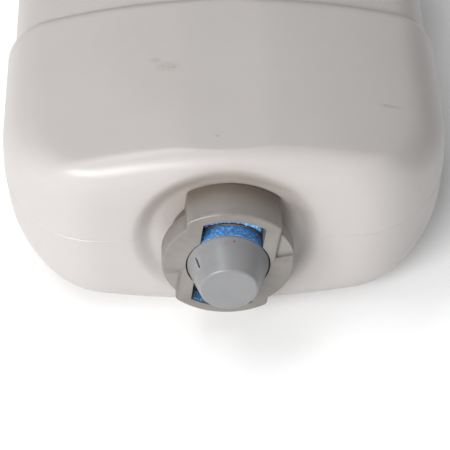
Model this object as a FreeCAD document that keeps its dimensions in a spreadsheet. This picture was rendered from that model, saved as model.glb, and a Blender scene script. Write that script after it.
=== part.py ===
import FreeCAD, Part
import Sketcher
import math
import os
import re
from types import SimpleNamespace

# Detergent dispenser bottle with a push-to-open dosing closure.
#
# Every piece is drawn upright about the neck: local +Z runs out of the neck, local +X
# across the wide side, local +Y through the thickness, and local Z = 0 is the shoulder
# plane that the neck grows out of. lay_down() then turns the piece onto its wide face, as
# the bottle lies in a dosing drawer: the neck looks along -Y and the thickness along +Z.
# The row origin is the middle of the overall box, on the surface the bottle lies on.

doc = FreeCAD.newDocument("dispenser_bottle")
sheet = doc.addObject("Spreadsheet::Sheet", "Sizes")

# Driving dimensions in millimetres, or degrees where the name ends in angle.
SIZES = [
    # bottle body, blow moulded
    ("body_width", 200.0),
    ("body_thickness", 95.0),
    ("body_length", 238.0),
    ("body_wall", 1.6),
    ("face_crown_radius", 290.0),
    ("side_crown_radius", 250.0),
    ("edge_radius", 26.0),
    ("shoulder_corner", 43.6),
    ("shoulder_depth", 55.0),
    ("shoulder_round", 11.3),
    ("shoulder_dome", 16.5),
    ("shoulder_power", 2.2),
    ("shoulder_tight", 0.7),
    ("head_length", 101.5),
    ("panel_length", 82.0),
    ("panel_inset", 3.0),
    ("step_round", 7.0),
    ("heel_round", 13.0),
    ("rest_flat", 0.6),
    ("punt_depth", 4.0),
    ("punt_border", 17.0),
    ("punt_slope", 5.0),
    ("moat_depth", 3.3),
    ("moat_radius", 32.8),
    ("moat_slope", 9.0),
    # neck and thread
    ("neck_bore", 19.4),
    ("neck_wall", 1.8),
    ("thread_height", 1.3),
    ("thread_pitch", 4.0),
    ("thread_turns", 1.2),
    ("thread_foot", 2.0),
    ("thread_tip", 1.1),
    ("thread_gap", 0.3),
    ("thread_sink", 0.4),
    ("thread_top_gap", 0.4),
    ("thread_late_turns", 0.4),
    ("thread_play_turns", 0.05),
    # closure collar with two wings
    ("collar_front", 15.5),
    ("collar_gap", 0.6),
    ("flange_radius", 28.7),
    ("flange_depth", 9.5),
    ("skirt_wall", 2.0),
    ("skirt_clear", 0.8),
    ("wing_radius", 32.0),
    ("wing_half_width", 20.3),
    ("wing_depth", 17.9),
    ("wing_wall", 2.2),
    ("wing_corner", 2.4),
    ("slot_depth", 7.5),
    ("slot_radius", 27.3),
    ("slot_half_width", 13.5),
    ("slot_floor", 1.4),
    ("ramp_depth", 1.3),
    ("ramp_start_angle", 17.8),
    ("ramp_sweep_angle", 40.0),
    ("collar_turn_angle", 7.3),
    ("collar_edge", 1.2),
    # valve body that the collar clamps on the neck
    ("seat_flange", 2.0),
    ("flange_clear", 0.65),
    ("gasket_thick", 1.4),
    ("gasket_bore_gap", 0.1),
    ("gasket_rim_gap", 0.2),
    ("plug_clear", 0.2),
    ("plug_wall", 1.2),
    ("plug_floor_depth", 3.5),
    ("floor_thick", 2.0),
    ("boss_radius", 11.4),
    ("boss_bore", 8.6),
    ("boss_front", 10.5),
    ("seat_hole", 5.0),
    ("cage_radius", 11.5),
    ("cage_wall", 1.7),
    ("cage_length", 11.0),
    ("ring_groove", 2.0),
    ("ring_drop", 4.0),
    # sprung nose
    ("nose_clear", 0.3),
    ("nose_base", 15.3),
    ("nose_height", 14.5),
    ("nose_tip_radius", 12.4),
    ("nose_wall", 1.8),
    ("nose_tip_wall", 2.0),
    ("nose_edge", 1.3),
    ("nose_skirt_end", 3.2),
    ("nose_slot_width", 1.2),
    ("nose_slot_length", 5.2),
    ("nose_slot_height", 5.8),
    ("nose_slot_angle", 57.4),
    ("nose_slot_reach", 12.0),
    ("nose_slot_start", 10.4),
    ("inner_skirt_wall", 1.3),
    ("inner_skirt_end", 3.6),
    # plunger seal, stem, spring and poppet
    ("ring_section", 0.85),
    ("ring_squeeze", 0.3),
    ("seal_gap", 0.08),
    ("stem_radius", 1.95),
    ("stem_fit", 0.05),
    ("stem_end_gap", 0.3),
    ("spigot_spare", 0.4),
    ("socket_wall", 2.0),
    ("socket_depth", 8.0),
    ("spring_radius", 6.2),
    ("wire_radius", 0.5),
    ("spring_turns", 8.0),
    ("poppet_radius", 7.6),
    ("poppet_thick", 2.0),
    ("poppet_seal_thick", 1.2),
    ("poppet_seal_radius", 7.0),
    ("spigot_radius", 1.4),
    ("clip_thick", 0.8),
    ("clip_radius", 3.2),
    # vent valve
    ("vent_offset", 14.7),
    ("vent_cap_radius", 2.6),
    ("vent_cap_thick", 0.8),
    ("vent_stem_radius", 0.8),
    ("vent_bulb_radius", 1.25),
    ("vent_bulb_height", 1.2),
    ("vent_air_radius", 0.4),
    ("vent_air_offset", 1.7),
    # suction tube and its ends
    ("adaptor_wall", 1.4),
    ("adaptor_overlap", 6.0),
    ("adaptor_floor", 2.0),
    ("adaptor_gasket", 1.0),
    ("spigot_length", 12.0),
    ("spigot_wall", 1.2),
    ("tube_bore", 4.0),
    ("tube_wall", 1.4),
    ("tube_start_gap", 0.4),
    ("tube_first_end", 39.4),
    ("tube_slope_angle", 55.0),
    ("tube_bend_radius", 14.0),
    ("tube_end", 84.0),
    ("strainer_wall", 1.2),
    ("strainer_start", 75.0),
    ("strainer_end", 100.0),
    ("strainer_slot_width", 1.6),
    ("strainer_slot_border", 1.2),
    ("strainer_stop_gap", 0.3),
    ("strainer_stop_thick", 1.2),
    ("strainer_lift", 0.7),
]
for row, (alias, number) in enumerate(SIZES, start=1):
    sheet.set(f"A{row}", alias.replace("_", " "))
    sheet.set(f"B{row}", str(number))
    sheet.setAlias(f"B{row}", alias)
doc.recompute()

ALIASES = {alias for alias, _ in SIZES}
size = SimpleNamespace(**{alias: float(sheet.get(alias)) for alias in ALIASES})


def bound(text):
    """The expression with every size name pointed at its cell in the sheet."""
    return re.sub(r"[a-z][a-z_]+", lambda m: f"Sizes.{m[0]}" if m[0] in ALIASES else m[0], text)


# ---- heights and radii that several pieces share, as expressions in the sheet's names

LEDGE = "(collar_front - slot_depth)"
FLANGE_BACK = f"({LEDGE} - seat_flange)"
RIM = f"({FLANGE_BACK} - gasket_thick)"
SKIRT_END = "(skirt_clear - moat_depth)"
NECK_ROOT = "(neck_bore + neck_wall)"
NECK_CREST = f"({NECK_ROOT} + thread_height)"
COLLAR_BORE = f"({NECK_CREST} + thread_gap)"
SKIRT_RADIUS = f"({COLLAR_BORE} + skirt_wall)"
PLUG_RADIUS = "(neck_bore - plug_clear)"
PLUG_BORE = f"({PLUG_RADIUS} - plug_wall)"
NOSE_RADIUS = f"({PLUG_BORE} - nose_clear)"
HOLE_RADIUS = f"({NOSE_RADIUS} + collar_gap)"
FLOOR_TOP = "(-plug_floor_depth)"
FLOOR_BACK = f"({FLOOR_TOP} - floor_thick)"
CAGE_END = f"({FLOOR_BACK} - cage_length)"
NOSE_TIP = "(nose_base + nose_height)"
TIP_INSIDE = f"({NOSE_TIP} - nose_tip_wall)"
RING_HEIGHT = "(boss_front - ring_drop)"
SKIRT_BORE = "(boss_radius + ring_squeeze + seal_gap)"
ADAPTOR_INSIDE = f"({CAGE_END} - adaptor_gasket)"
ADAPTOR_BACK = f"({ADAPTOR_INSIDE} - adaptor_floor)"
SEAL_BACK = f"({FLOOR_BACK} - poppet_seal_thick)"
POPPET_BACK = f"({SEAL_BACK} - poppet_thick)"

# The same places as numbers, for the pieces whose shape is set directly.
rim = size.collar_front - size.slot_depth - size.seat_flange - size.gasket_thick
neck_root = size.neck_bore + size.neck_wall
neck_crest = neck_root + size.thread_height
collar_bore = neck_crest + size.thread_gap
floor_back = -size.plug_floor_depth - size.floor_thick
adaptor_back = floor_back - size.cage_length - size.adaptor_gasket - size.adaptor_floor
thread_low = rim - size.thread_foot / 2 - size.thread_top_gap - size.thread_turns * size.thread_pitch

SHOULDER_Y = "(nose_base + nose_height - body_length) / 2"
AXIS_HEIGHT = "body_thickness / 2 - rest_flat"
parts = []


def lay_down(piece, label, turn="0"):
    """Names a finished piece and lays it down, turned about the neck axis by turn degrees."""
    piece.Label = label
    down = FreeCAD.Rotation(FreeCAD.Vector(1, 0, 0), 90)
    if turn != "0":
        down = down * FreeCAD.Rotation(FreeCAD.Vector(0, 0, 1), -getattr(size, turn))
    piece.Placement = FreeCAD.Placement(FreeCAD.Vector(0, 0, 0), down)
    piece.setExpression("Placement.Base.y", bound(SHOULDER_Y))
    piece.setExpression("Placement.Base.z", bound(AXIS_HEIGHT))
    parts.append(piece)
    return piece


def origin_plane(body, role):
    """One of a body's own base planes."""
    return next(o for o in body.Origin.OriginFeatures if o.Role == role)


def outline_sketch(body, name, corners, role="XZ_Plane"):
    """A closed outline whose corners are pairs of expressions, each held from the origin."""
    sketch = body.newObject("Sketcher::SketchObject", name)
    sketch.AttachmentSupport = (origin_plane(body, role), [""])
    sketch.MapMode = "FlatFace"
    count = len(corners)
    first = [
        FreeCAD.Vector(30 + 20 * math.cos(2 * math.pi * i / count), 20 * math.sin(2 * math.pi * i / count), 0)
        for i in range(count)
    ]
    for i in range(count):
        sketch.addGeometry(Part.LineSegment(first[i], first[(i + 1) % count]))
    for i in range(count):
        sketch.addConstraint(Sketcher.Constraint("Coincident", i, 2, (i + 1) % count, 1))
    for i, (across, along) in enumerate(corners):
        for kind, text, here in (("DistanceX", across, first[i].x), ("DistanceY", along, first[i].y)):
            if text == "0":
                line = -2 if kind == "DistanceX" else -1
                sketch.addConstraint(Sketcher.Constraint("PointOnObject", i, 1, line))
            else:
                at = sketch.addConstraint(Sketcher.Constraint(kind, -1, 1, i, 1, here))
                sketch.setExpression(f"Constraints[{at}]", bound(text))
    return sketch


def turned(name, corners):
    """A body turned about the neck axis from an outline of (radius, height) pairs."""
    body = doc.addObject("PartDesign::Body", name)
    sketch = outline_sketch(body, name + "_outline", corners)
    turn = body.newObject("PartDesign::Revolution", name + "_turn")
    turn.Profile = sketch
    turn.ReferenceAxis = (sketch, ["V_Axis"])
    turn.Angle = 360
    doc.recompute()
    return body


def round_edges(body, name, radius, wanted, kind="PartDesign::Fillet"):
    """Rounds or chamfers the edges of the body's last feature that wanted(edge) picks."""
    doc.recompute()
    base = body.Tip
    picked = [f"Edge{i}" for i, e in enumerate(base.Shape.Edges, start=1) if wanted(e)]
    edges = body.newObject(kind, name)
    edges.Base = (base, picked)
    edges.setExpression("Radius" if kind.endswith("Fillet") else "Size", bound(radius))
    doc.recompute()
    return edges


def circle_at(edge, radius, height, slack=0.01):
    """True for a full or part circle of that radius about the neck axis at that height."""
    curve = edge.Curve
    if not isinstance(curve, Part.Circle):
        return False
    centre = curve.Center
    on_axis = abs(centre.x) < slack and abs(centre.y) < slack
    return on_axis and abs(curve.Radius - radius) < slack and abs(centre.z - height) < slack


def cylinder(name, radius, bottom, top, angle=None, start=0.0, offset=(0.0, 0.0)):
    """A cylinder or a pie slice along the neck axis between two heights."""
    rod = doc.addObject("Part::Cylinder", name)
    rod.setExpression("Radius", bound(radius))
    rod.setExpression("Height", bound(f"{top} - {bottom}"))
    if angle:
        rod.setExpression("Angle", bound(angle))
    rod.Placement = FreeCAD.Placement(
        FreeCAD.Vector(offset[0], offset[1], 0), FreeCAD.Rotation(FreeCAD.Vector(0, 0, 1), start)
    )
    rod.setExpression("Placement.Base.z", bound(bottom))
    return rod


def fused(name, pieces):
    """The union of several shapes."""
    union = doc.addObject("Part::MultiFuse", name)
    union.Shapes = pieces
    union.Refine = True
    return union


def cut(name, base, tool):
    """What is left of base once tool is taken away."""
    left = doc.addObject("Part::Cut", name)
    left.Base = base
    left.Tool = tool
    left.Refine = True
    return left


def shaped(name, shape):
    """A feature whose shape Part's own functions made."""
    feature = doc.addObject("Part::Feature", name)
    feature.Shape = shape
    return feature


def thread_ridge(root, crest, low, turns):
    """A right-hand thread ridge that starts at height low and climbs for so many turns.

    The ridge is widest at its root radius, which may be outside or inside the crest.
    """
    into = math.copysign(size.thread_sink, root - crest)
    helix = Part.makeHelix(size.thread_pitch, size.thread_pitch * turns, root)
    foot = size.thread_foot / 2
    tip = size.thread_tip / 2
    corners = [(root + into, -foot), (root, -foot), (crest, -tip), (crest, tip), (root, foot), (root + into, foot)]
    points = [FreeCAD.Vector(r, 0, z) for r, z in corners]
    profile = Part.makePolygon(points + points[:1])
    ridge = Part.Wire(helix).makePipeShell([profile], True, True)
    ridge.translate(FreeCAD.Vector(0, 0, low))
    return ridge


# ---- bottle shell: lofts through crowned sections, joined and hollowed


def section(half_width, half_depth, corner, height):
    """A closed outline of crowned sides and round corners, at one height."""
    face = size.face_crown_radius
    side = size.side_crown_radius
    # The corner's centre is where two circles about the crowns' centres cross.
    face_low = half_depth - face
    side_in = half_width - side
    reach_face = face - corner
    reach_side = side - corner
    span = math.hypot(side_in, face_low)
    along = (reach_face**2 - reach_side**2 + span**2) / (2 * span)
    off = math.sqrt(reach_face**2 - along**2)
    ux, uy = side_in / span, -face_low / span
    cx, cy = along * ux + off * uy, face_low + along * uy - off * ux
    if off * (uy - ux) < 0:
        cx, cy = along * ux - off * uy, face_low + along * uy + off * ux
    face_x = cx * face / reach_face
    face_y = face_low + (cy - face_low) * face / reach_face
    side_x = side_in + (cx - side_in) * side / reach_side
    side_y = cy * side / reach_side
    mid = math.atan2(face_y - cy + side_y - cy, face_x - cx + side_x - cx)
    mid_x, mid_y = cx + corner * math.cos(mid), cy + corner * math.sin(mid)

    def arc(*points):
        return Part.Arc(*[FreeCAD.Vector(x, y, height) for x, y in points]).toShape()

    edges = [arc((-face_x, face_y), (0, half_depth), (face_x, face_y))]
    edges.append(arc((face_x, face_y), (mid_x, mid_y), (side_x, side_y)))
    edges.append(arc((side_x, side_y), (half_width, 0), (side_x, -side_y)))
    edges.append(arc((side_x, -side_y), (mid_x, -mid_y), (face_x, -face_y)))
    edges.append(arc((face_x, -face_y), (0, -half_depth), (-face_x, -face_y)))
    edges.append(arc((-face_x, -face_y), (-mid_x, -mid_y), (-side_x, -side_y)))
    edges.append(arc((-side_x, -side_y), (-half_width, 0), (-side_x, side_y)))
    edges.append(arc((-side_x, side_y), (-mid_x, mid_y), (-face_x, face_y)))
    return Part.Wire(edges)


def round_inset(depth, deep, wide, power=2.0):
    """How far a quarter oval, so deep and so wide, stands in at a depth below its top plane."""
    if depth >= deep:
        return 0.0
    return wide - wide * (1 - ((deep - depth) / deep) ** power) ** (1 / power)


def body_solid(inset):
    """The bottle body without its neck, every wall moved in by inset."""
    wide = size.body_width / 2 - inset
    deep = size.body_thickness / 2 - inset
    corner = size.edge_radius - inset
    plan = size.shoulder_depth - inset
    corner_wide = size.shoulder_corner - inset
    round_ = size.shoulder_round - inset
    dome = size.shoulder_dome - inset
    heel = size.heel_round - inset
    step = size.panel_inset
    step_run = math.sqrt(size.step_round**2 - (size.step_round - step) ** 2)
    head_end = size.head_length
    panel_start = head_end + step_run
    panel_end = panel_start + size.panel_length
    base_start = panel_end + step_run
    end = size.body_length - inset

    def head(depth):
        share = size.shoulder_tight + (1 - size.shoulder_tight) * min(1.0, depth / plan)
        half_wide = wide - round_inset(depth, plan, corner_wide)
        half_deep = deep - round_inset(depth, round_, dome, size.shoulder_power)
        return section(half_wide, half_deep, corner * share * half_deep / deep, -(depth + inset))

    def stepped(run, at):
        back = size.step_round - math.sqrt(size.step_round**2 - run**2)
        return section(wide - back, deep - back, corner - back, -at)

    def heeled(back, at):
        return section(wide - back, deep - back, corner - back, -at)

    shoulder = [round_ * share for share in (0.0, 0.03, 0.1, 0.22, 0.4, 0.62, 1.0)]
    shoulder += [plan * share for share in (0.32, 0.45, 0.6, 0.8, 1.0)]
    runs = [step_run * share for share in (0.0, 0.35, 0.65, 0.85, 1.0)]
    heel_depths = [heel * (1 - math.cos(math.radians(a))) for a in (90, 66, 48, 32, 16, 0)]
    groups = [
        [head(d) for d in shoulder],
        [head(plan), section(wide, deep, corner, -head_end)],
        [stepped(run, head_end + run) for run in runs],
        [section(wide - step, deep - step, corner - step, -at) for at in (panel_start, panel_end)],
        [stepped(run, base_start - run) for run in reversed(runs)],
        [section(wide, deep, corner, -at) for at in (base_start, end - heel)],
        [heeled(round_inset(d, heel, heel), end - d) for d in heel_depths],
    ]
    skins = [face for wires in groups for face in Part.makeLoft(wires, False, len(wires) == 2).Faces]
    ends = [Part.Face(groups[0][0]), Part.Face(groups[-1][-1])]
    skin = Part.Shell(skins + ends)
    skin.sewShape()
    solid = Part.Solid(skin)
    if solid.Volume < 0:
        solid.reverse()
    return solid


def punt(inset):
    """The hollow in the base, its floor and sides moved in by inset."""
    border = size.punt_border - inset
    wide = size.body_width / 2 - border
    deep = size.body_thickness / 2 - border
    corner = size.edge_radius / 2
    slope = size.punt_slope
    low = section(wide, deep, corner, -size.body_length)
    high = section(wide - slope, deep - slope, corner - slope, -size.body_length + size.punt_depth + inset)
    return Part.makeLoft([low, high], True, True)


def moat(inset):
    """The dished ring round the neck, its floor and side moved out by inset."""
    height = size.moat_depth + inset
    ring = Part.makeCone(
        size.moat_radius + inset,
        size.moat_radius + inset + size.moat_slope * (height + 1) / size.moat_depth,
        height + 1,
    )
    ring.translate(FreeCAD.Vector(0, 0, -height))
    return ring


def bottle_shape():
    """The hollow bottle with its neck, thread, moat and punt."""
    wall = size.body_wall
    outer = body_solid(0.0).cut(moat(0.0)).cut(punt(0.0))
    inner = body_solid(wall).cut(moat(wall)).cut(punt(wall))
    slab = Part.makeBox(
        2 * size.body_width, size.body_thickness - 2 * size.rest_flat, 2 * size.body_length,
        FreeCAD.Vector(-size.body_width, size.rest_flat - size.body_thickness / 2, -2 * size.body_length + 1),
    )
    floor = -size.moat_depth - wall
    neck = Part.makeCylinder(neck_root, rim - floor, FreeCAD.Vector(0, 0, floor))
    ridge = thread_ridge(neck_root, neck_crest, thread_low, size.thread_turns)
    bore = Part.makeCylinder(size.neck_bore, rim - floor + 4, FreeCAD.Vector(0, 0, floor - 2))
    shell = outer.common(slab).cut(inner)
    return shell.fuse(neck).fuse(ridge).cut(bore).removeSplitter()


lay_down(shaped("bottle_shell_shape", bottle_shape()), "bottle_shell")


# ---- closure collar: a ring nut with two wings, two docking slots and two ramps


def winged_disc(name, radius, half_width, bottom, top):
    """A disc about the neck axis cut off flat at both sides."""
    slab = doc.addObject("Part::Box", name + "_slab")
    lengths = {"Length": f"{half_width} * 2", "Width": f"{radius} * 2 + 2", "Height": f"{top} - {bottom}"}
    for side, length in lengths.items():
        slab.setExpression(side, bound(length))
    for axis, place in (("x", f"-{half_width}"), ("y", f"-{radius} - 1"), ("z", bottom)):
        slab.setExpression(f"Placement.Base.{axis}", bound(place))
    both = doc.addObject("Part::MultiCommon", name)
    both.Shapes = [cylinder(name + "_disc", radius, bottom, top), slab]
    return both


def make_collar():
    """The screw collar, cut from rings and slices along the neck axis."""
    back = "(collar_front - wing_depth)"
    front = "collar_front"
    wings = winged_disc("wings", "wing_radius", "wing_half_width", back, front)
    flange = cylinder("flange", "flange_radius", "(collar_front - flange_depth)", front)
    blank = fused("collar_blank", [flange, wings])

    pocket_top = f"({LEDGE} - slot_floor)"
    pocket = winged_disc(
        "wing_pocket", "(wing_radius - wing_wall)", "(wing_half_width - wing_wall)", f"({back} - 1)", pocket_top
    )
    skirt = cylinder("collar_skirt", SKIRT_RADIUS, SKIRT_END, front)
    hollowed = fused("collar_solid", [cut("collar_shallow", blank, pocket), skirt])
    tools = [
        cylinder("collar_hole", HOLE_RADIUS, f"({LEDGE} - 1)", "(collar_front + 1)"),
        cylinder("collar_bore", COLLAR_BORE, f"({SKIRT_END} - 5)", LEDGE),
    ]
    tools.append(winged_disc("docking_slots", "slot_radius", "slot_half_width", LEDGE, "(collar_front + 1)"))
    for side, half_turn in (("upper", 0), ("lower", 180)):
        ramp = cylinder(
            f"ramp_{side}", "(flange_radius + 5)", "(collar_front - ramp_depth)", "(collar_front + 1)",
            "ramp_sweep_angle", size.ramp_start_angle + half_turn,
        )
        tools.append(cut(f"ramp_outside_wings_{side}", ramp, wings))
    turned_part = cut("collar_plain", hollowed, fused("collar_tools", tools))

    # The ridge follows the neck's own thread half a pitch behind it.
    late = size.thread_late_turns
    turns = size.thread_turns - late - size.thread_play_turns
    low = thread_low + (late - 0.5 - size.collar_turn_angle / 360) * size.thread_pitch
    ridge = thread_ridge(collar_bore, neck_root + size.thread_gap, low, turns)
    ridge.rotate(FreeCAD.Vector(0, 0, 0), FreeCAD.Vector(0, 0, 1), 360 * late)
    whole = fused("collar_threaded", [turned_part, shaped("collar_ridge", ridge)])
    doc.recompute()

    def wing_corner(edge):
        upright = abs(abs(edge.tangentAt(edge.FirstParameter).z) - 1) < 1e-6
        middle = edge.CenterOfMass
        wide = abs(abs(middle.x) - size.wing_half_width) < 0.01
        far = math.hypot(middle.x, middle.y) > size.wing_radius - 0.1
        return isinstance(edge.Curve, Part.Line) and upright and wide and far

    rounded = doc.addObject("Part::Fillet", "collar_rounded")
    rounded.Base = whole
    rounded.Edges = [
        (i, size.wing_corner, size.wing_corner)
        for i, edge in enumerate(whole.Shape.Edges, start=1) if wing_corner(edge)
    ]
    doc.recompute()

    def front_rim(edge):
        middle = edge.valueAt((edge.FirstParameter + edge.LastParameter) / 2)
        at_front = abs(middle.z - size.collar_front) < 0.01 and abs(edge.BoundBox.ZLength) < 0.01
        return at_front and math.hypot(middle.x, middle.y) > size.wing_half_width

    eased = doc.addObject("Part::Fillet", "collar_eased")
    eased.Base = rounded
    eased.Edges = [
        (i, size.collar_edge, size.collar_edge)
        for i, edge in enumerate(rounded.Shape.Edges, start=1)
        if front_rim(edge) and isinstance(edge.Curve, Part.Circle)
        and edge.Curve.Radius > size.slot_radius + 0.1
    ]
    doc.recompute()
    return eased


lay_down(make_collar(), "collar", "collar_turn_angle")

# ---- valve body: flange on the neck rim, plug in the bore, boss for the nose, cage behind

GROOVE_RADIUS = "(boss_radius + ring_squeeze - 2 * ring_section - seal_gap)"
valve_blank = turned(
    "valve_blank",
    [
        (f"({COLLAR_BORE} - flange_clear)", FLANGE_BACK),
        (f"({COLLAR_BORE} - flange_clear)", LEDGE),
        (PLUG_BORE, LEDGE),
        (PLUG_BORE, FLOOR_TOP),
        ("boss_radius", FLOOR_TOP),
        ("boss_radius", f"({RING_HEIGHT} - ring_groove / 2)"),
        (GROOVE_RADIUS, f"({RING_HEIGHT} - ring_groove / 2)"),
        (GROOVE_RADIUS, f"({RING_HEIGHT} + ring_groove / 2)"),
        ("boss_radius", f"({RING_HEIGHT} + ring_groove / 2)"),
        ("boss_radius", "boss_front"),
        ("boss_bore", "boss_front"),
        ("boss_bore", FLOOR_TOP),
        ("seat_hole", FLOOR_TOP),
        ("seat_hole", FLOOR_BACK),
        ("(cage_radius - cage_wall)", FLOOR_BACK),
        ("(cage_radius - cage_wall)", CAGE_END),
        ("cage_radius", CAGE_END),
        ("cage_radius", FLOOR_BACK),
        (PLUG_RADIUS, FLOOR_BACK),
        (PLUG_RADIUS, FLANGE_BACK),
    ],
)


def vent_place(radius, angle):
    """A spot round the vent valve's stem, below the neck axis."""
    turn = math.radians(angle)
    return radius * math.cos(turn), -size.vent_offset + radius * math.sin(turn)


vent_holes = [
    cylinder("vent_stem_hole", "(vent_stem_radius + stem_fit)", f"({FLOOR_BACK} - 1)", f"({FLOOR_TOP} + 1)",
             offset=vent_place(0, 0))
]
for number, angle in enumerate(range(45, 360, 90), start=1):
    spot = vent_place(size.vent_air_offset, angle)
    vent_holes.append(
        cylinder(f"vent_air_{number}", "vent_air_radius", f"({FLOOR_BACK} - 1)", f"({FLOOR_TOP} + 1)", offset=spot)
    )
lay_down(cut("valve_drilled", valve_blank, fused("vent_holes", vent_holes)), "valve_body")

lay_down(
    turned(
        "gasket_ring",
        [
            ("(neck_bore + gasket_bore_gap)", RIM),
            (f"({COLLAR_BORE} - flange_clear - gasket_rim_gap)", RIM),
            (f"({COLLAR_BORE} - flange_clear - gasket_rim_gap)", FLANGE_BACK),
            ("(neck_bore + gasket_bore_gap)", FLANGE_BACK),
        ],
    ),
    "neck_gasket",
)

boss_ring = doc.addObject("Part::Torus", "boss_ring_torus")
boss_ring.setExpression("Radius1", bound("boss_radius + ring_squeeze - ring_section"))
boss_ring.setExpression("Radius2", bound("ring_section"))
boss_ring.setExpression("Placement.Base.z", bound(RING_HEIGHT))
ring_group = doc.addObject("Part::Compound", "boss_ring_group")
ring_group.Links = [boss_ring]
lay_down(ring_group, "boss_ring")

# ---- umbrella valve that lets air in as detergent leaves

vent_cap = cylinder("vent_cap", "vent_cap_radius", f"({FLOOR_BACK} - vent_cap_thick)", FLOOR_BACK,
                    offset=vent_place(0, 0))
vent_stem = cylinder("vent_stem", "vent_stem_radius", f"({FLOOR_BACK} - vent_cap_thick / 2)",
                     f"({FLOOR_TOP} + vent_bulb_height)", offset=vent_place(0, 0))
vent_bulb = cylinder("vent_bulb", "vent_bulb_radius", FLOOR_TOP, f"({FLOOR_TOP} + vent_bulb_height)",
                     offset=vent_place(0, 0))
lay_down(fused("vent_umbrella", [vent_cap, vent_stem, vent_bulb]), "vent_valve")

# ---- sprung nose with its stem, spring and poppet

SOCKET = "(stem_radius + stem_fit)"
CONE_FALL = f"(nose_height / ({NOSE_RADIUS} - nose_tip_radius))"
MEET = f"(nose_base + ({NOSE_RADIUS} - nose_wall - {SKIRT_BORE} - inner_skirt_wall) * {CONE_FALL})"
nose_blank = turned(
    "nose_blank",
    [
        ("0", TIP_INSIDE),
        ("0", NOSE_TIP),
        ("nose_tip_radius", NOSE_TIP),
        (NOSE_RADIUS, "nose_base"),
        (NOSE_RADIUS, "nose_skirt_end"),
        (f"({NOSE_RADIUS} - nose_wall)", "nose_skirt_end"),
        (f"({NOSE_RADIUS} - nose_wall)", "nose_base"),
        (f"({SKIRT_BORE} + inner_skirt_wall)", MEET),
        (f"({SKIRT_BORE} + inner_skirt_wall)", "inner_skirt_end"),
        (SKIRT_BORE, "inner_skirt_end"),
        (SKIRT_BORE, TIP_INSIDE),
        (f"({SOCKET} + socket_wall)", TIP_INSIDE),
        (f"({SOCKET} + socket_wall)", f"({TIP_INSIDE} - socket_depth)"),
        (SOCKET, f"({TIP_INSIDE} - socket_depth)"),
        (SOCKET, TIP_INSIDE),
    ],
)
tip_height = size.nose_base + size.nose_height
round_edges(nose_blank, "nose_tip_round", "nose_edge", lambda e: circle_at(e, size.nose_tip_radius, tip_height))
slit = doc.addObject("Part::Box", "nose_slit")
slit_lengths = {"Length": "nose_slot_reach", "Width": "nose_slot_width", "Height": "nose_slot_length"}
for side, length in slit_lengths.items():
    slit.setExpression(side, bound(length))
slit_axis = FreeCAD.Rotation(FreeCAD.Vector(0, 0, 1), 90 + size.nose_slot_angle)
slit_spot = slit_axis.multVec(FreeCAD.Vector(size.nose_slot_start, -size.nose_slot_width / 2, 0))
slit.Placement = FreeCAD.Placement(slit_spot, slit_axis)
slit.setExpression("Placement.Base.z", bound("nose_base + nose_slot_height - nose_slot_length / 2"))
lay_down(cut("nose_slotted", nose_blank, slit), "nose")

STEM_TOP = f"({TIP_INSIDE} - stem_end_gap)"
SPIGOT_END = f"({POPPET_BACK} - clip_thick - spigot_spare)"
lay_down(
    turned(
        "stem_rod",
        [
            ("0", SPIGOT_END),
            ("spigot_radius", SPIGOT_END),
            ("spigot_radius", FLOOR_BACK),
            ("stem_radius", FLOOR_BACK),
            ("stem_radius", STEM_TOP),
            ("0", STEM_TOP),
        ],
    ),
    "stem",
)


def washer(name, label, bore, radius, low, high):
    """A flat ring about the neck axis."""
    ring = turned(name, [(bore, low), (radius, low), (radius, high), (bore, high)])
    return lay_down(ring, label)


washer("seal_disc", "poppet_seal", "(spigot_radius + stem_fit)", "poppet_seal_radius", SEAL_BACK, FLOOR_BACK)
washer("poppet_disc", "poppet", "(spigot_radius + stem_fit)", "poppet_radius", POPPET_BACK, SEAL_BACK)
washer("clip_ring", "stem_clip", "(spigot_radius + stem_fit)", "clip_radius",
       f"({POPPET_BACK} - clip_thick)", POPPET_BACK)


def spring_shape():
    """The coil between the valve floor and the inside of the nose tip, of eight-sided wire."""
    wire = size.wire_radius
    low = -size.plug_floor_depth + wire
    high = size.nose_base + size.nose_height - size.nose_tip_wall - wire
    lean = math.atan((high - low) / (2 * math.pi * size.spring_radius * size.spring_turns))
    sides, stations = 8, 12

    def ring(share):
        turn = 2 * math.pi * size.spring_turns * share
        corners = []
        for side in range(sides):
            angle = 2 * math.pi * (side + 0.5) / sides
            out, up = size.spring_radius + wire * math.cos(angle), wire * math.sin(angle)
            back = up * math.sin(lean)
            across = out * math.cos(turn) + back * math.sin(turn)
            along = out * math.sin(turn) - back * math.cos(turn)
            height = low + (high - low) * share + up * math.cos(lean)
            corners.append(FreeCAD.Vector(across, along, height))
        return Part.makePolygon(corners + corners[:1])

    count = int(stations * size.spring_turns)
    return Part.makeLoft([ring(i / count) for i in range(count + 1)], True, True)


lay_down(shaped("spring_coil", spring_shape()), "nose_spring")

# ---- suction tube: adaptor on the cage, bent tube down to the low side, strainer

SPIGOT = "(tube_bore - stem_fit)"
lay_down(
    turned(
        "adaptor_cup",
        [
            ("(cage_radius + stem_fit)", f"({CAGE_END} + adaptor_overlap)"),
            ("(cage_radius + stem_fit)", ADAPTOR_INSIDE),
            (f"({SPIGOT} - spigot_wall)", ADAPTOR_INSIDE),
            (f"({SPIGOT} - spigot_wall)", f"({ADAPTOR_BACK} - spigot_length)"),
            (SPIGOT, f"({ADAPTOR_BACK} - spigot_length)"),
            (SPIGOT, ADAPTOR_BACK),
            ("(cage_radius + stem_fit + adaptor_wall)", ADAPTOR_BACK),
            ("(cage_radius + stem_fit + adaptor_wall)", f"({CAGE_END} + adaptor_overlap)"),
        ],
    ),
    "tube_adaptor",
)
washer("adaptor_seal", "adaptor_gasket", "(cage_radius - cage_wall)", "cage_radius", ADAPTOR_INSIDE, CAGE_END)

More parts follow.
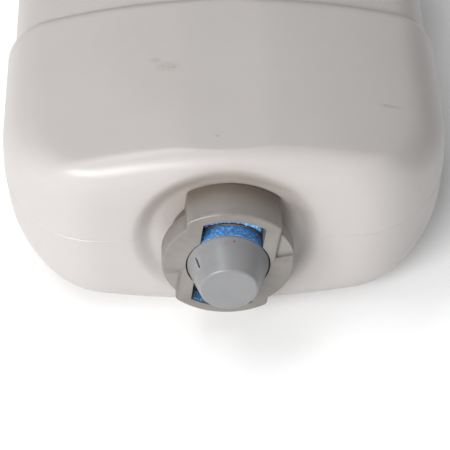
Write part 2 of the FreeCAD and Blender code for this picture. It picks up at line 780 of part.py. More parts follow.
strainer_radius = size.tube_bore + size.tube_wall + size.stem_fit + size.strainer_wall
tube_drop = size.body_thickness / 2 - size.body_wall - size.strainer_lift - strainer_radius


def tube_shape():
    """A round tube along the neck axis, then sloping down, then along the low side."""
    start = FreeCAD.Vector(0, 0, adaptor_back - size.tube_start_gap)
    first = FreeCAD.Vector(0, 0, -size.tube_first_end)
    slope = math.radians(size.tube_slope_angle)
    second = FreeCAD.Vector(0, -tube_drop, -size.tube_first_end - tube_drop / math.tan(slope))
    last = FreeCAD.Vector(0, -tube_drop, -size.tube_end)
    reach = size.tube_bend_radius * math.tan(slope / 2)

    def bend(before, corner, after):
        back = (before - corner).normalize()
        on = (after - corner).normalize()
        centre = corner + (back + on).normalize() * (size.tube_bend_radius / math.cos(slope / 2))
        middle = centre + (corner - centre).normalize() * size.tube_bend_radius
        return corner + back * reach, middle, corner + on * reach

    a, a_mid, b = bend(start, first, second)
    c, c_mid, d = bend(first, second, last)
    path = Part.Wire(
        [
            Part.makeLine(start, a), Part.Arc(a, a_mid, b).toShape(), Part.makeLine(b, c),
            Part.Arc(c, c_mid, d).toShape(), Part.makeLine(d, last),
        ]
    )

    def sweep(radius):
        ring = Part.Wire(Part.makeCircle(radius, start, FreeCAD.Vector(0, 0, -1)))
        return path.makePipeShell([ring], True, False)

    return sweep(size.tube_bore + size.tube_wall).cut(sweep(size.tube_bore))


lay_down(shaped("tube_sweep", tube_shape()), "suction_tube")

TUBE_OUTSIDE = "(tube_bore + tube_wall + stem_fit)"
STRAINER_RADIUS = f"({TUBE_OUTSIDE} + strainer_wall)"
STOP_END = "(-tube_end - strainer_stop_gap - strainer_stop_thick)"
strainer_cup = turned(
    "strainer_cup",
    [
        (TUBE_OUTSIDE, "-strainer_start"),
        (TUBE_OUTSIDE, "(-tube_end - strainer_stop_gap)"),
        ("tube_bore", "(-tube_end - strainer_stop_gap)"),
        ("tube_bore", STOP_END),
        (TUBE_OUTSIDE, STOP_END),
        (TUBE_OUTSIDE, "(strainer_wall - strainer_end)"),
        ("0", "(strainer_wall - strainer_end)"),
        ("0", "-strainer_end"),
        (STRAINER_RADIUS, "-strainer_end"),
        (STRAINER_RADIUS, "-strainer_start"),
    ],
)
strainer_cuts = []
for number, angle in enumerate(range(0, 180, 45), start=1):
    slot = doc.addObject("Part::Box", f"strainer_slot_{number}")
    slot.setExpression("Length", bound(f"2 * {STRAINER_RADIUS} + 2"))
    slot.setExpression("Width", bound("strainer_slot_width"))
    slot.setExpression("Height", bound(f"{STOP_END} + strainer_end - strainer_wall - 2 * strainer_slot_border"))
    spin = FreeCAD.Rotation(FreeCAD.Vector(0, 0, 1), angle)
    corner = spin.multVec(FreeCAD.Vector(-strainer_radius - 1, -size.strainer_slot_width / 2, 0))
    slot.Placement = FreeCAD.Placement(corner, spin)
    slot.setExpression("Placement.Base.z", bound("strainer_wall + strainer_slot_border - strainer_end"))
    strainer_cuts.append(slot)
strainer = lay_down(cut("strainer_slotted", strainer_cup, fused("strainer_cuts", strainer_cuts)), "strainer")
TUBE_DROP = f"(body_thickness / 2 - body_wall - strainer_lift - {STRAINER_RADIUS})"
strainer.setExpression("Placement.Base.z", bound(f"{AXIS_HEIGHT} - {TUBE_DROP}"))

# ---- check everything, then write one file for each piece

doc.recompute()
for obj in doc.Objects:
    if "Invalid" in obj.State or "Error" in obj.State:
        raise RuntimeError(f"{obj.Name} is {obj.State}")
for piece in parts:
    if piece.Shape.isNull() or not piece.Shape.isValid() or not piece.Shape.Solids:
        raise RuntimeError(f"{piece.Label} has no valid solid")
os.makedirs("parts", exist_ok=True)
for piece in parts:
    piece.Shape.exportStep(f"parts/{piece.Label}.step")
    box = piece.Shape.BoundBox
    print(
        f"{piece.Label}: {len(piece.Shape.Solids)} solid, {piece.Shape.Volume / 1000:.2f} ml, "
        f"x {box.XMin:.1f}..{box.XMax:.1f} y {box.YMin:.1f}..{box.YMax:.1f} z {box.ZMin:.1f}..{box.ZMax:.1f}"
    )
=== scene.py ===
"""Detergent dispenser bottle lying on its wide side: surfaces, finishes, light and camera.

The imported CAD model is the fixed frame. The blow-moulded shell is rebuilt as one smooth skin with
its mould seam, dried detergent is added in the docking slots, and every piece gets its finish.
"""
import logging
import math
from dataclasses import dataclass
from enum import Enum

import bmesh
import bpy
import numpy as np
from mathutils import Matrix, Vector, noise


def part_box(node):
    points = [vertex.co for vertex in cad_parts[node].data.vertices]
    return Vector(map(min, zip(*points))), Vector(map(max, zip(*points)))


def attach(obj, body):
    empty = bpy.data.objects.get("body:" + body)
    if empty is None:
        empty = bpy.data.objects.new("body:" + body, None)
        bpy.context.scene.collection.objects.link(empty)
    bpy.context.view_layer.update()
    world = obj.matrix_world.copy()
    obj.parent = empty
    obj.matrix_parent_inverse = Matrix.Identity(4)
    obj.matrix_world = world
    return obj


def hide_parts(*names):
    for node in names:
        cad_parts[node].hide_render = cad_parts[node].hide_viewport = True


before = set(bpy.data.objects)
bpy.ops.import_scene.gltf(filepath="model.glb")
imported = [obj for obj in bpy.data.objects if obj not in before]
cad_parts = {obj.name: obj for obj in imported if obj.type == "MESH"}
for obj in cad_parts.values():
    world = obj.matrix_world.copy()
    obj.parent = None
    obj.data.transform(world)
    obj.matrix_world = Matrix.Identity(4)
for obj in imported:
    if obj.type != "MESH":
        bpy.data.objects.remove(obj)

LOG = logging.getLogger("bottle")
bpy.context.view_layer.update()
MM = 0.001
Ring = tuple[np.ndarray, np.ndarray]


class Body(Enum):
    """The moving groups that a piece can ride on."""

    BOTTLE = "bottle"
    CARTRIDGE = "cartridge"
    COLLAR = "collar_ring"
    PLUNGER = "plunger"


# ---- placing: pieces are drawn upright about the neck, +Z out of it, then laid down


@dataclass(frozen=True)
class Lie:
    """Where the upright drawing of the bottle lies in the frame.

    Args:
        body_length: Length of the bottle body behind the shoulder plane, in metres.
    """

    body_length: float = 238 * MM

    @property
    def shoulder(self) -> float:
        """Y of the shoulder plane."""
        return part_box("bottle_shell")[1].y - self.body_length

    @property
    def axis_height(self) -> float:
        """Height of the neck axis."""
        low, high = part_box("nose")
        return (low.z + high.z) / 2

    def matrix(self, turn: float = 0.0) -> Matrix:
        """The move from the upright drawing to the frame.

        Args:
            turn: Clockwise turn about the neck, seen from the front, in radians.

        Returns:
            The 4x4 matrix.
        """
        place = Matrix.Translation((0, self.shoulder, self.axis_height))
        return place @ Matrix.Rotation(math.pi / 2, 4, "X") @ Matrix.Rotation(-turn, 4, "Z")


LIE = Lie()


def finish_mesh(name: str, bm: bmesh.types.BMesh, turn: float = 0.0) -> bpy.types.Object:
    """Lays a drawn mesh down and makes it an object with smooth faces.

    Args:
        name: Name of the piece.
        bm: The drawing, upright about the neck. It is freed.
        turn: Clockwise turn about the neck, in radians.

    Returns:
        The new object, at the origin and unturned.
    """
    bmesh.ops.transform(bm, matrix=LIE.matrix(turn), verts=bm.verts)
    for face in bm.faces:
        face.smooth = True
    mesh = bpy.data.meshes.new(name)
    bm.to_mesh(mesh)
    bm.free()
    piece = bpy.data.objects.new(name, mesh)
    bpy.context.scene.collection.objects.link(piece)
    return piece


def keep_creases(piece: bpy.types.Object, angle: float = 35.0) -> None:
    """Marks the edges sharper than an angle, so that shading breaks there.

    Args:
        piece: The mesh object.
        angle: Limit in degrees.
    """
    bm = bmesh.new()
    bm.from_mesh(piece.data)
    for edge in bm.edges:
        if len(edge.link_faces) == 2 and edge.calc_face_angle(0.0) > math.radians(angle):
            edge.smooth = False
    bm.to_mesh(piece.data)
    bm.free()


# ---- shader groups shared by the finishes

# Sockets of the Mix node in its colour mode
MIX_SHARE, MIX_FIRST, MIX_SECOND, MIX_RESULT = 0, 6, 7, 2


class Tree:
    """A short way to add and join nodes in one node tree."""

    def __init__(self, tree: bpy.types.NodeTree) -> None:
        """Wraps a node tree."""
        self.tree = tree

    def add(self, kind: str, **settings: object) -> bpy.types.Node:
        """Adds a node and sets its properties or, by socket name, its input values.

        Args:
            kind: The node's type name.
            settings: Properties, or input sockets with spaces written as underscores.

        Returns:
            The node.
        """
        node = self.tree.nodes.new(kind)
        for key, value in settings.items():
            if hasattr(node, key):
                setattr(node, key, value)
            else:
                node.inputs[key.replace("_", " ")].default_value = value
        return node

    def join(self, source: bpy.types.NodeSocket, target: bpy.types.NodeSocket) -> None:
        """Links an output to an input.

        Args:
            source: The output.
            target: The input.
        """
        self.tree.links.new(source, target)

    def maths(self, operation: str, first: object, second: object = 0.0,
              clamp: bool = False) -> bpy.types.NodeSocket:
        """A Math node fed by sockets or numbers.

        Args:
            operation: The Math node's operation.
            first: Socket or number.
            second: Socket or number.
            clamp: Whether the result stays from 0 to 1.

        Returns:
            The result's socket.
        """
        node = self.tree.nodes.new("ShaderNodeMath")
        node.operation = operation
        node.use_clamp = clamp
        for slot, value in zip(node.inputs, (first, second)):
            if isinstance(value, (int, float)):
                slot.default_value = value
            else:
                self.join(value, slot)
        return node.outputs[0]

    def blend(self, share: object, first: object, second: object) -> bpy.types.NodeSocket:
        """A colour mix fed by sockets or colours.

        Args:
            share: Socket or number from 0, all first, to 1, all second.
            first: Socket or (r, g, b).
            second: Socket or (r, g, b).

        Returns:
            The colour's socket.
        """
        node = self.tree.nodes.new("ShaderNodeMix")
        node.data_type = "RGBA"
        for at, value in ((MIX_SHARE, share), (MIX_FIRST, first), (MIX_SECOND, second)):
            slot = node.inputs[at]
            if isinstance(value, bpy.types.NodeSocket):
                self.join(value, slot)
            elif isinstance(value, tuple):
                slot.default_value = (*value, 1.0)
            else:
                slot.default_value = value
        return node.outputs[MIX_RESULT]


def new_material(name: str) -> tuple[bpy.types.Material, Tree, bpy.types.Node]:
    """A fresh material.

    Args:
        name: The material's name.

    Returns:
        The material, its tree and its main shader.
    """
    material = bpy.data.materials.new(name)
    material.use_nodes = True
    return material, Tree(material.node_tree), material.node_tree.nodes["Principled BSDF"]


def new_group(
    name: str, inputs: dict[str, float], outputs: dict[str, str]
) -> tuple[Tree, bpy.types.Node, bpy.types.Node]:
    """An empty shader group with named sockets.

    Args:
        name: The group's name.
        inputs: Names of its number inputs and their defaults.
        outputs: Names of its outputs and their socket types.

    Returns:
        The group's tree, its input node and its output node.
    """
    group = bpy.data.node_groups.new(name, "ShaderNodeTree")
    for title, value in inputs.items():
        socket = group.interface.new_socket(title, in_out="INPUT", socket_type="NodeSocketFloat")
        socket.default_value = value
    for title, kind in outputs.items():
        group.interface.new_socket(title, in_out="OUTPUT", socket_type=kind)
    tree = Tree(group)
    return tree, tree.add("NodeGroupInput"), tree.add("NodeGroupOutput")


def moulded_grain() -> bpy.types.NodeTree:
    """Fine moulded skin: a height for bump, and a soft mask of where the surface is duller."""
    tree, given, made = new_group(
        "Moulded grain", {"Grain size": 900.0, "Ripple size": 14.0, "Ripple share": 0.5},
        {"Height": "NodeSocketFloat", "Dull": "NodeSocketFloat"},
    )
    place = tree.add("ShaderNodeTexCoord").outputs["Object"]
    fine = tree.add("ShaderNodeTexNoise", Detail=3.0, Roughness=0.6)
    tree.join(place, fine.inputs["Vector"])
    tree.join(given.outputs["Grain size"], fine.inputs["Scale"])
    ripple = tree.add("ShaderNodeTexNoise", Detail=2.0, Roughness=0.45)
    tree.join(place, ripple.inputs["Vector"])
    tree.join(given.outputs["Ripple size"], ripple.inputs["Scale"])
    wave = tree.maths("MULTIPLY", ripple.outputs["Fac"], given.outputs["Ripple share"])
    height = tree.maths("ADD", tree.maths("MULTIPLY", fine.outputs["Fac"], 0.04), wave)
    tree.join(height, made.inputs["Height"])
    tree.join(ripple.outputs["Fac"], made.inputs["Dull"])
    return tree.tree


def handling_marks() -> bpy.types.NodeTree:
    """Scuffs and grime: long thin scratches and cloudy smudges, each a mask from 0 to 1."""
    tree, given, made = new_group(
        "Handling marks", {"Scratch amount": 0.5, "Smudge amount": 0.5, "Smudge size": 30.0},
        {"Scratch": "NodeSocketFloat", "Smudge": "NodeSocketFloat"},
    )
    place = tree.add("ShaderNodeTexCoord").outputs["Object"]
    stretched = tree.add("ShaderNodeMapping", vector_type="POINT")
    stretched.inputs["Rotation"].default_value = (0.2, 0.4, 0.7)
    stretched.inputs["Scale"].default_value = (40.0, 900.0, 300.0)
    tree.join(place, stretched.inputs["Vector"])
    lines = tree.add("ShaderNodeTexNoise", Scale=1.0, Detail=2.0)
    tree.join(stretched.outputs[0], lines.inputs["Vector"])
    patches = tree.add("ShaderNodeTexNoise", Scale=22.0, Detail=1.0)
    tree.join(place, patches.inputs["Vector"])
    thin = tree.maths("MULTIPLY", tree.maths("SUBTRACT", lines.outputs["Fac"], 0.62), 12.0, True)
    where = tree.maths("MULTIPLY", tree.maths("SUBTRACT", patches.outputs["Fac"], 0.52), 6.0, True)
    here = tree.maths("MULTIPLY", thin, where, True)
    tree.join(tree.maths("MULTIPLY", here, given.outputs["Scratch amount"]), made.inputs["Scratch"])
    cloud = tree.add("ShaderNodeTexNoise", Detail=5.0, Roughness=0.65, Distortion=0.6)
    tree.join(place, cloud.inputs["Vector"])
    tree.join(given.outputs["Smudge size"], cloud.inputs["Scale"])
    soft = tree.maths("MULTIPLY", tree.maths("SUBTRACT", cloud.outputs["Fac"], 0.5), 4.0, True)
    tree.join(tree.maths("MULTIPLY", soft, given.outputs["Smudge amount"]), made.inputs["Smudge"])
    return tree.tree


def worn_edges_and_hollow_shade() -> bpy.types.NodeTree:
    """Edges rubbed paler, and painted shade darkening the hollows, both from the shape's own pointiness."""
    tree, given, made = new_group(
        "Worn edges and hollow shade", {"Edge": 0.5, "Hollow": 0.5},
        {"Edge mask": "NodeSocketFloat", "Hollow shade mask": "NodeSocketFloat"},
    )
    point = tree.add("ShaderNodeNewGeometry").outputs["Pointiness"]
    edge = tree.maths("MULTIPLY", tree.maths("SUBTRACT", point, 0.51), 12.0, True)
    # Painted shade: hollows darker.
    hollow = tree.maths("MULTIPLY", tree.maths("SUBTRACT", 0.49, point), 12.0, True)
    tree.join(tree.maths("MULTIPLY", edge, given.outputs["Edge"]), made.inputs["Edge mask"])
    tree.join(tree.maths("MULTIPLY", hollow, given.outputs["Hollow"]), made.inputs["Hollow shade mask"])
    return tree.tree


def neck_painted_shade() -> bpy.types.NodeTree:
    """Painted shade round the neck: a mask that grows towards the shoulder, and a patchy one on the upper
    side that grows towards the neck axis.
    """
    tree, given, made = new_group(
        "Neck painted shade", {"Front": 0.0, "Back": 1.0, "Near": 0.0, "Far": 1.0, "Axis height": 0.0},
        {"Depth mask": "NodeSocketFloat", "Ring mask": "NodeSocketFloat"},
    )
    place = tree.add("ShaderNodeTexCoord").outputs["Object"]
    parts = tree.add("ShaderNodeSeparateXYZ")
    tree.join(place, parts.inputs[0])
    rise = tree.maths("SUBTRACT", parts.outputs[2], given.outputs["Axis height"])

    def ramp(value: bpy.types.NodeSocket, start: str, end: str) -> bpy.types.NodeSocket:
        """A smooth step of a value between two of the group's inputs."""
        node = tree.add("ShaderNodeMapRange", interpolation_type="SMOOTHSTEP")
        tree.join(value, node.inputs["Value"])
        tree.join(given.outputs[start], node.inputs["From Min"])
        tree.join(given.outputs[end], node.inputs["From Max"])
        return node.outputs[0]

    tree.join(ramp(parts.outputs[1], "Front", "Back"), made.inputs["Depth mask"])
    across = tree.maths("POWER", tree.maths("ABSOLUTE", parts.outputs[0]), 2.0)
    upward = tree.maths("POWER", tree.maths("ABSOLUTE", rise), 2.0)
    distance = tree.maths("SQRT", tree.maths("ADD", across, upward))
    # Painted shade falls only above the neck axis, in patches.
    upper = tree.maths("MULTIPLY", rise, 40.0, True)
    cloud = tree.add("ShaderNodeTexNoise", Scale=60.0, Detail=3.0)
    tree.join(place, cloud.inputs["Vector"])
    patchy = tree.maths("MULTIPLY", tree.maths("ADD", cloud.outputs["Fac"], 0.3), upper)
    tree.join(tree.maths("MULTIPLY", ramp(distance, "Far", "Near"), patchy, True), made.inputs["Ring mask"])
    return tree.tree


def placed_scuff() -> bpy.types.NodeTree:
    """One scuff at a set place: a ragged oval mask from 0 to 1."""
    tree, given, made = new_group("Placed scuff", {"Strength": 0.5}, {"Mask": "NodeSocketFloat"})
    place = tree.tree.interface.new_socket("Place", in_out="INPUT", socket_type="NodeSocketVector")
    length = tree.add("ShaderNodeVectorMath", operation="LENGTH")
    tree.join(given.outputs[place.name], length.inputs[0])
    ragged = tree.add("ShaderNodeTexNoise", Scale=3.0, Detail=4.0, Roughness=0.7)
    tree.join(given.outputs[place.name], ragged.inputs["Vector"])
    inside = tree.maths("SUBTRACT", 1.15, length.outputs["Value"])
    torn = tree.maths("MULTIPLY", tree.maths("SUBTRACT", ragged.outputs["Fac"], 0.38), 4.0, True)
    mask = tree.maths("MULTIPLY", tree.maths("MULTIPLY", inside, 1.6, True), torn)
    tree.join(tree.maths("MULTIPLY", mask, given.outputs["Strength"], True), made.inputs["Mask"])
    return tree.tree


class Effects:
    """The shader groups, each built once."""

    def __init__(self) -> None:
        """Builds the groups."""
        self.grain = moulded_grain()
        self.marks = handling_marks()
        self.edges = worn_edges_and_hollow_shade()
        self.neck_shade = neck_painted_shade()
        self.scuff = placed_scuff()


EFFECTS = Effects()


# ---- finishes

# Where the painted shade round the neck lies: in front of and behind the shoulder plane, then from the axis
NECK_SHADE_FRONT = 14.5 * MM
NECK_SHADE_BACK = 2.0 * MM
NECK_SHADE_NEAR = 31.0 * MM
NECK_SHADE_FAR = 47.0 * MM


@dataclass(frozen=True)
class Scuff:
    """A rubbed spot on the bottle.

    Args:
        place: Its middle, in the frame.
        half: Half lengths along the frame's axes.
        strength: How dark it is, from 0 to 1.
    """

    place: tuple[float, float, float]
    half: tuple[float, float, float]
    strength: float

    def mask(self, tree: Tree) -> bpy.types.NodeSocket:
        """The scuff's mask in a material's tree.

        Args:
            tree: The material's tree.

        Returns:
            The mask's socket.
        """
        where = tree.add("ShaderNodeMapping", vector_type="TEXTURE")
        where.inputs["Location"].default_value = self.place
        where.inputs["Scale"].default_value = self.half
        tree.join(tree.add("ShaderNodeTexCoord").outputs["Object"], where.inputs["Vector"])
        spot = tree.add("ShaderNodeGroup", node_tree=EFFECTS.scuff, Strength=self.strength)
        tree.join(where.outputs[0], spot.inputs["Place"])
        return spot.outputs["Mask"]


@dataclass(frozen=True)
class MouldedPlastic:
    """A moulded plastic: its colour, how it varies, how worn it is, and the shade painted into its hollows
    and round the neck.

    Args:
        name: Name of the material.
        colour: Main colour, linear.
        shade: Colour of the duller patches.
        grime_and_shade: Colour of smudges, and of the painted shade in hollows.
        roughness: Roughness of the clean surface.
        bump: Depth of the grain, in metres.
        grain: Fine grain scale.
        ripple: Scale of the slow waviness.
        ripple_share: Share of waviness in the bump.
        scratch: Strength of scratches.
        smudge: Strength of smudges.
        smudge_size: Scale of the smudges.
        edge: Paleness of rubbed edges.
        hollow: Strength of the painted shade in hollows.
        glow: Subsurface weight.
        glow_radius: Subsurface radius, in metres.
        painted_shade_colour: Colour of the painted shade round the neck.
        painted_shade_back: Strength of the painted shade towards the shoulder.
        painted_shade_ring: Strength of the painted shade in the dished ring, on its upper side.
        scuffs: Rubbed spots.
    """

    name: str
    colour: tuple[float, float, float]
    shade: tuple[float, float, float]
    grime_and_shade: tuple[float, float, float]
    roughness: float = 0.4
    bump: float = 0.00005
    grain: float = 900.0
    ripple: float = 14.0
    ripple_share: float = 0.5
    scratch: float = 0.3
    smudge: float = 0.3
    smudge_size: float = 30.0
    edge: float = 0.3
    hollow: float = 0.5
    glow: float = 0.0
    glow_radius: float = 0.002
    painted_shade_colour: tuple[float, float, float] = (0.09, 0.07, 0.053)
    painted_shade_back: float = 0.0
    painted_shade_ring: float = 0.0
    scuffs: tuple[Scuff, ...] = ()

    def add_neck_shade(self, tree: Tree, colour: bpy.types.NodeSocket) -> bpy.types.NodeSocket:
        """Adds the painted shade round the neck to a colour.

        Args:
            tree: The material's tree.
            colour: The colour before the painted shade.

        Returns:
            The colour's socket.
        """
        neck_shade = tree.add(
            "ShaderNodeGroup", node_tree=EFFECTS.neck_shade, Front=LIE.shoulder - NECK_SHADE_FRONT,
            Back=LIE.shoulder + NECK_SHADE_BACK, Near=NECK_SHADE_NEAR, Far=NECK_SHADE_FAR, Axis_height=LIE.axis_height,
        )
        back = tree.maths("MULTIPLY", neck_shade.outputs["Depth mask"], self.painted_shade_back)
        ring = tree.maths("MULTIPLY", neck_shade.outputs["Ring mask"], self.painted_shade_ring)
        return tree.blend(ring, tree.blend(back, colour, self.painted_shade_colour), self.painted_shade_colour)

    def tone(
        self, tree: Tree, grain: bpy.types.Node, marks: bpy.types.Node, edges: bpy.types.Node
    ) -> bpy.types.NodeSocket:
        """The colour over the surface.

        Args:
            tree: The material's tree.
            grain: Its grain group.
            marks: Its marks group.
            edges: Its edge wear group.

        Returns:
            The colour's socket.
        """
        colour = tree.blend(grain.outputs["Dull"], self.colour, self.shade)
        colour = tree.blend(marks.outputs["Smudge"], colour, self.grime_and_shade)
        # Painted shade: hollows darkened towards the grime colour.
        colour = tree.blend(edges.outputs["Hollow shade mask"], colour, self.grime_and_shade)
        pale = tuple(min(1.0, c * 1.25 + 0.03) for c in self.colour)
        return tree.blend(edges.outputs["Edge mask"], colour, pale)

    def material(self) -> bpy.types.Material:
        """Builds the material."""
        material, tree, shader = new_material(self.name)
        grain = tree.add(
            "ShaderNodeGroup", node_tree=EFFECTS.grain, Grain_size=self.grain, Ripple_size=self.ripple,
            Ripple_share=self.ripple_share,
        )
        marks = tree.add(
            "ShaderNodeGroup", node_tree=EFFECTS.marks, Scratch_amount=self.scratch,
            Smudge_amount=self.smudge,
            Smudge_size=self.smudge_size,
        )
        edges = tree.add("ShaderNodeGroup", node_tree=EFFECTS.edges, Edge=self.edge, Hollow=self.hollow)
        colour = self.tone(tree, grain, marks, edges)
        # Painted shade round the neck: darker towards the shoulder, and a halo above the neck.
        if self.painted_shade_back or self.painted_shade_ring:
            colour = self.add_neck_shade(tree, colour)
        for scuff in self.scuffs:
            colour = tree.blend(scuff.mask(tree), colour, self.grime_and_shade)
        tree.join(colour, shader.inputs["Base Color"])
        rough = tree.maths("ADD", tree.maths("MULTIPLY", grain.outputs["Dull"], 0.12), self.roughness - 0.06)
        rough = tree.maths("ADD", rough, tree.maths("MULTIPLY", marks.outputs["Scratch"], 0.3), True)
        tree.join(rough, shader.inputs["Roughness"])
        cut = tree.maths("MULTIPLY", marks.outputs["Scratch"], 0.2)
        dent = tree.maths("SUBTRACT", grain.outputs["Height"], cut)
        bump = tree.add("ShaderNodeBump", Strength=1.0, Distance=self.bump)
        tree.join(dent, bump.inputs["Height"])
        tree.join(bump.outputs[0], shader.inputs["Normal"])
        shader.inputs["Subsurface Weight"].default_value = self.glow
        shader.inputs["Subsurface Radius"].default_value = (self.glow_radius,) * 3
        shader.inputs["Subsurface Scale"].default_value = 1.0
        return material


@dataclass(frozen=True)
class DriedDetergent:
    """Crusted liquid: mottled colour, rough and lumpy.

    Args:
        name: Name of the material.
        colour: Main colour, linear.
        deep: Colour of its thick patches.
        pale: Colour of its dry crumbs.
    """

    name: str
    colour: tuple[float, float, float]
    deep: tuple[float, float, float]
    pale: tuple[float, float, float]

    def material(self) -> bpy.types.Material:
        """Builds the material."""
        material, tree, shader = new_material(self.name)
        place = tree.add("ShaderNodeTexCoord").outputs["Object"]
        blotch = tree.add("ShaderNodeTexNoise", Scale=700.0, Detail=4.0, Roughness=0.7)
        cells = tree.add("ShaderNodeTexVoronoi", Scale=1100.0)
        for node in (blotch, cells):
            tree.join(place, node.inputs["Vector"])
        deep = tree.maths("MULTIPLY", tree.maths("SUBTRACT", blotch.outputs["Fac"], 0.42), 4.0, True)
        pale = tree.maths("MULTIPLY", tree.maths("SUBTRACT", cells.outputs["Distance"], 0.45), 2.2, True)
        colour = tree.blend(pale, tree.blend(deep, self.colour, self.deep), self.pale)
        tree.join(colour, shader.inputs["Base Color"])
        tree.join(tree.maths("ADD", tree.maths("MULTIPLY", deep, 0.25), 0.45), shader.inputs["Roughness"])
        bump = tree.add("ShaderNodeBump", Strength=1.0, Distance=0.0001)
        tree.join(blotch.outputs["Fac"], bump.inputs["Height"])
        tree.join(bump.outputs[0], shader.inputs["Normal"])
        return material


@dataclass(frozen=True)
class DrawnSteel:
    """Drawn stainless wire, finely grained.

    Args:
        name: Name of the material.
        colour: Main colour, linear.
    """

    name: str
    colour: tuple[float, float, float] = (0.55, 0.55, 0.56)

    def material(self) -> bpy.types.Material:
        """Builds the material."""
        material, tree, shader = new_material(self.name)
        shader.inputs["Metallic"].default_value = 1.0
        grain = tree.add("ShaderNodeGroup", node_tree=EFFECTS.grain, Grain_size=3000.0, Ripple_size=400.0)
        dull = tuple(c * 0.6 for c in self.colour)
        tree.join(tree.blend(grain.outputs["Dull"], self.colour, dull), shader.inputs["Base Color"])
        rough = tree.maths("ADD", tree.maths("MULTIPLY", grain.outputs["Dull"], 0.2), 0.2)
        tree.join(rough, shader.inputs["Roughness"])
        bump = tree.add("ShaderNodeBump", Strength=1.0, Distance=0.00001)
        tree.join(grain.outputs["Height"], bump.inputs["Height"])
        tree.join(bump.outputs[0], shader.inputs["Normal"])
        return material


SCUFFS = (
    Scuff((-0.0244, -0.0431, 0.093), (0.006, 0.0035, 0.02), 0.45),
    Scuff((-0.0300, -0.0385, 0.093), (0.003, 0.002, 0.02), 0.5),
    Scuff((0.0724, -0.0631, 0.091), (0.006, 0.0012, 0.02), 0.7),
    Scuff((-0.0034, -0.0877, 0.093), (0.0012, 0.0008, 0.02), 0.9),
)


class Finish(Enum):
    """Every finish on the bottle."""

    MILKY = MouldedPlastic(
        "milky_polyethylene", (0.43, 0.408, 0.40), (0.385, 0.362, 0.352), (0.24, 0.20, 0.17), roughness=0.35,
        bump=0.00014, grain=700.0, ripple=20.0, ripple_share=0.9, scratch=0.3, smudge=0.06, edge=0.05,
        hollow=0.1,
        # Painted shade: a tan halo on the shoulder above the neck.
        glow=0.25, glow_radius=0.005, painted_shade_colour=(0.27, 0.225, 0.185), painted_shade_ring=0.75,
        scuffs=SCUFFS,
    )
    WARM_GREY = MouldedPlastic(
        "collar_plastic", (0.175, 0.163, 0.152), (0.15, 0.137, 0.125), (0.07, 0.052, 0.038), roughness=0.36,
        bump=0.0001, grain=1500.0, ripple=90.0, ripple_share=0.5, scratch=0.5, smudge=0.25, smudge_size=120.0,
        # Painted shade: darker towards the back, where the collar meets the bottle.
        edge=0.5, hollow=0.6, painted_shade_colour=(0.085, 0.062, 0.043), painted_shade_back=0.8,
    )
    NOSE_GREY = MouldedPlastic(
        "nose_plastic", (0.20, 0.202, 0.205), (0.175, 0.176, 0.18), (0.08, 0.08, 0.085), roughness=0.34,
        bump=0.00008, grain=1800.0, ripple=110.0, ripple_share=0.4, scratch=0.3, smudge=0.15,
        smudge_size=150.0,
        edge=0.6, hollow=0.4,
    )
    DARK = MouldedPlastic(
        "valve_plastic", (0.012, 0.013, 0.016), (0.02, 0.02, 0.024), (0.004, 0.004, 0.006), roughness=0.45,
        bump=0.00008, grain=1500.0, ripple=100.0,
    )
    NATURAL = MouldedPlastic(
        "natural_plastic", (0.62, 0.63, 0.62), (0.56, 0.57, 0.57), (0.3, 0.36, 0.45), roughness=0.35,
        bump=0.00008, grain=1500.0, ripple=60.0, glow=0.2,
    )
    RUBBER = MouldedPlastic(
        "seal_rubber", (0.02, 0.02, 0.021), (0.03, 0.03, 0.031), (0.008, 0.008, 0.008), roughness=0.72,
        bump=0.00005, grain=2200.0, ripple=200.0,
    )
    STEEL = DrawnSteel("drawn_steel")
    BLUE = DriedDetergent("dried_blue", (0.075, 0.25, 0.55), (0.02, 0.10, 0.34), (0.22, 0.45, 0.72))
    RED = DriedDetergent("dried_red", (0.45, 0.012, 0.03), (0.2, 0.005, 0.012), (0.6, 0.06, 0.08))


class Paint:
    """Materials by finish, each made once."""

    def __init__(self) -> None:
        """Starts with none made."""
        self.made: dict[Finish, bpy.types.Material] = {}

    def of(self, finish: Finish) -> bpy.types.Material:
        """The material of a finish.

        Args:
            finish: The finish.

        Returns:
            Its material, made on first use.
        """
        if finish not in self.made:
            self.made[finish] = finish.value.material()
        return self.made[finish]

    def dress(self, piece: bpy.types.Object, finish: Finish) -> None:
        """Gives a new piece its material.

        Args:
            piece: The piece.
            finish: Its finish.
        """
        piece.data.materials.append(self.of(finish))

    def dress_node(self, node: str, finish: Finish) -> None:
        """Gives a carried-over CAD node its material.

        Args:
            node: The node's name.
            finish: Its finish.
        """
        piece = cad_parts[node]
        for place in piece.material_slots:
            place.material = self.of(finish)


# ---- bottle skin

# Spacing of the skin's rings, closer where it bends
MOAT_FLOOR_SHARES = (0.0, 0.35, 0.7, 0.92)
SHOULDER_SHARES = (0.05, 0.12, 0.22, 0.34, 0.48, 0.62, 0.76, 0.89, 1.0)
STEP_SHARES = (0.0, 0.25, 0.45, 0.62, 0.76, 0.88, 0.96)
HEEL_TURNS = (90, 78, 66, 54, 42, 30, 18, 8, 0)
BASE_SHARES = (1.0, 0.8, 0.6, 0.4, 0.22)
# Rings without a seam at the neck and at the base, and the last ring of the shoulder's face
PLAIN_AT_NECK, PLAIN_AT_BASE, FACE_RINGS = 7, 8, 30


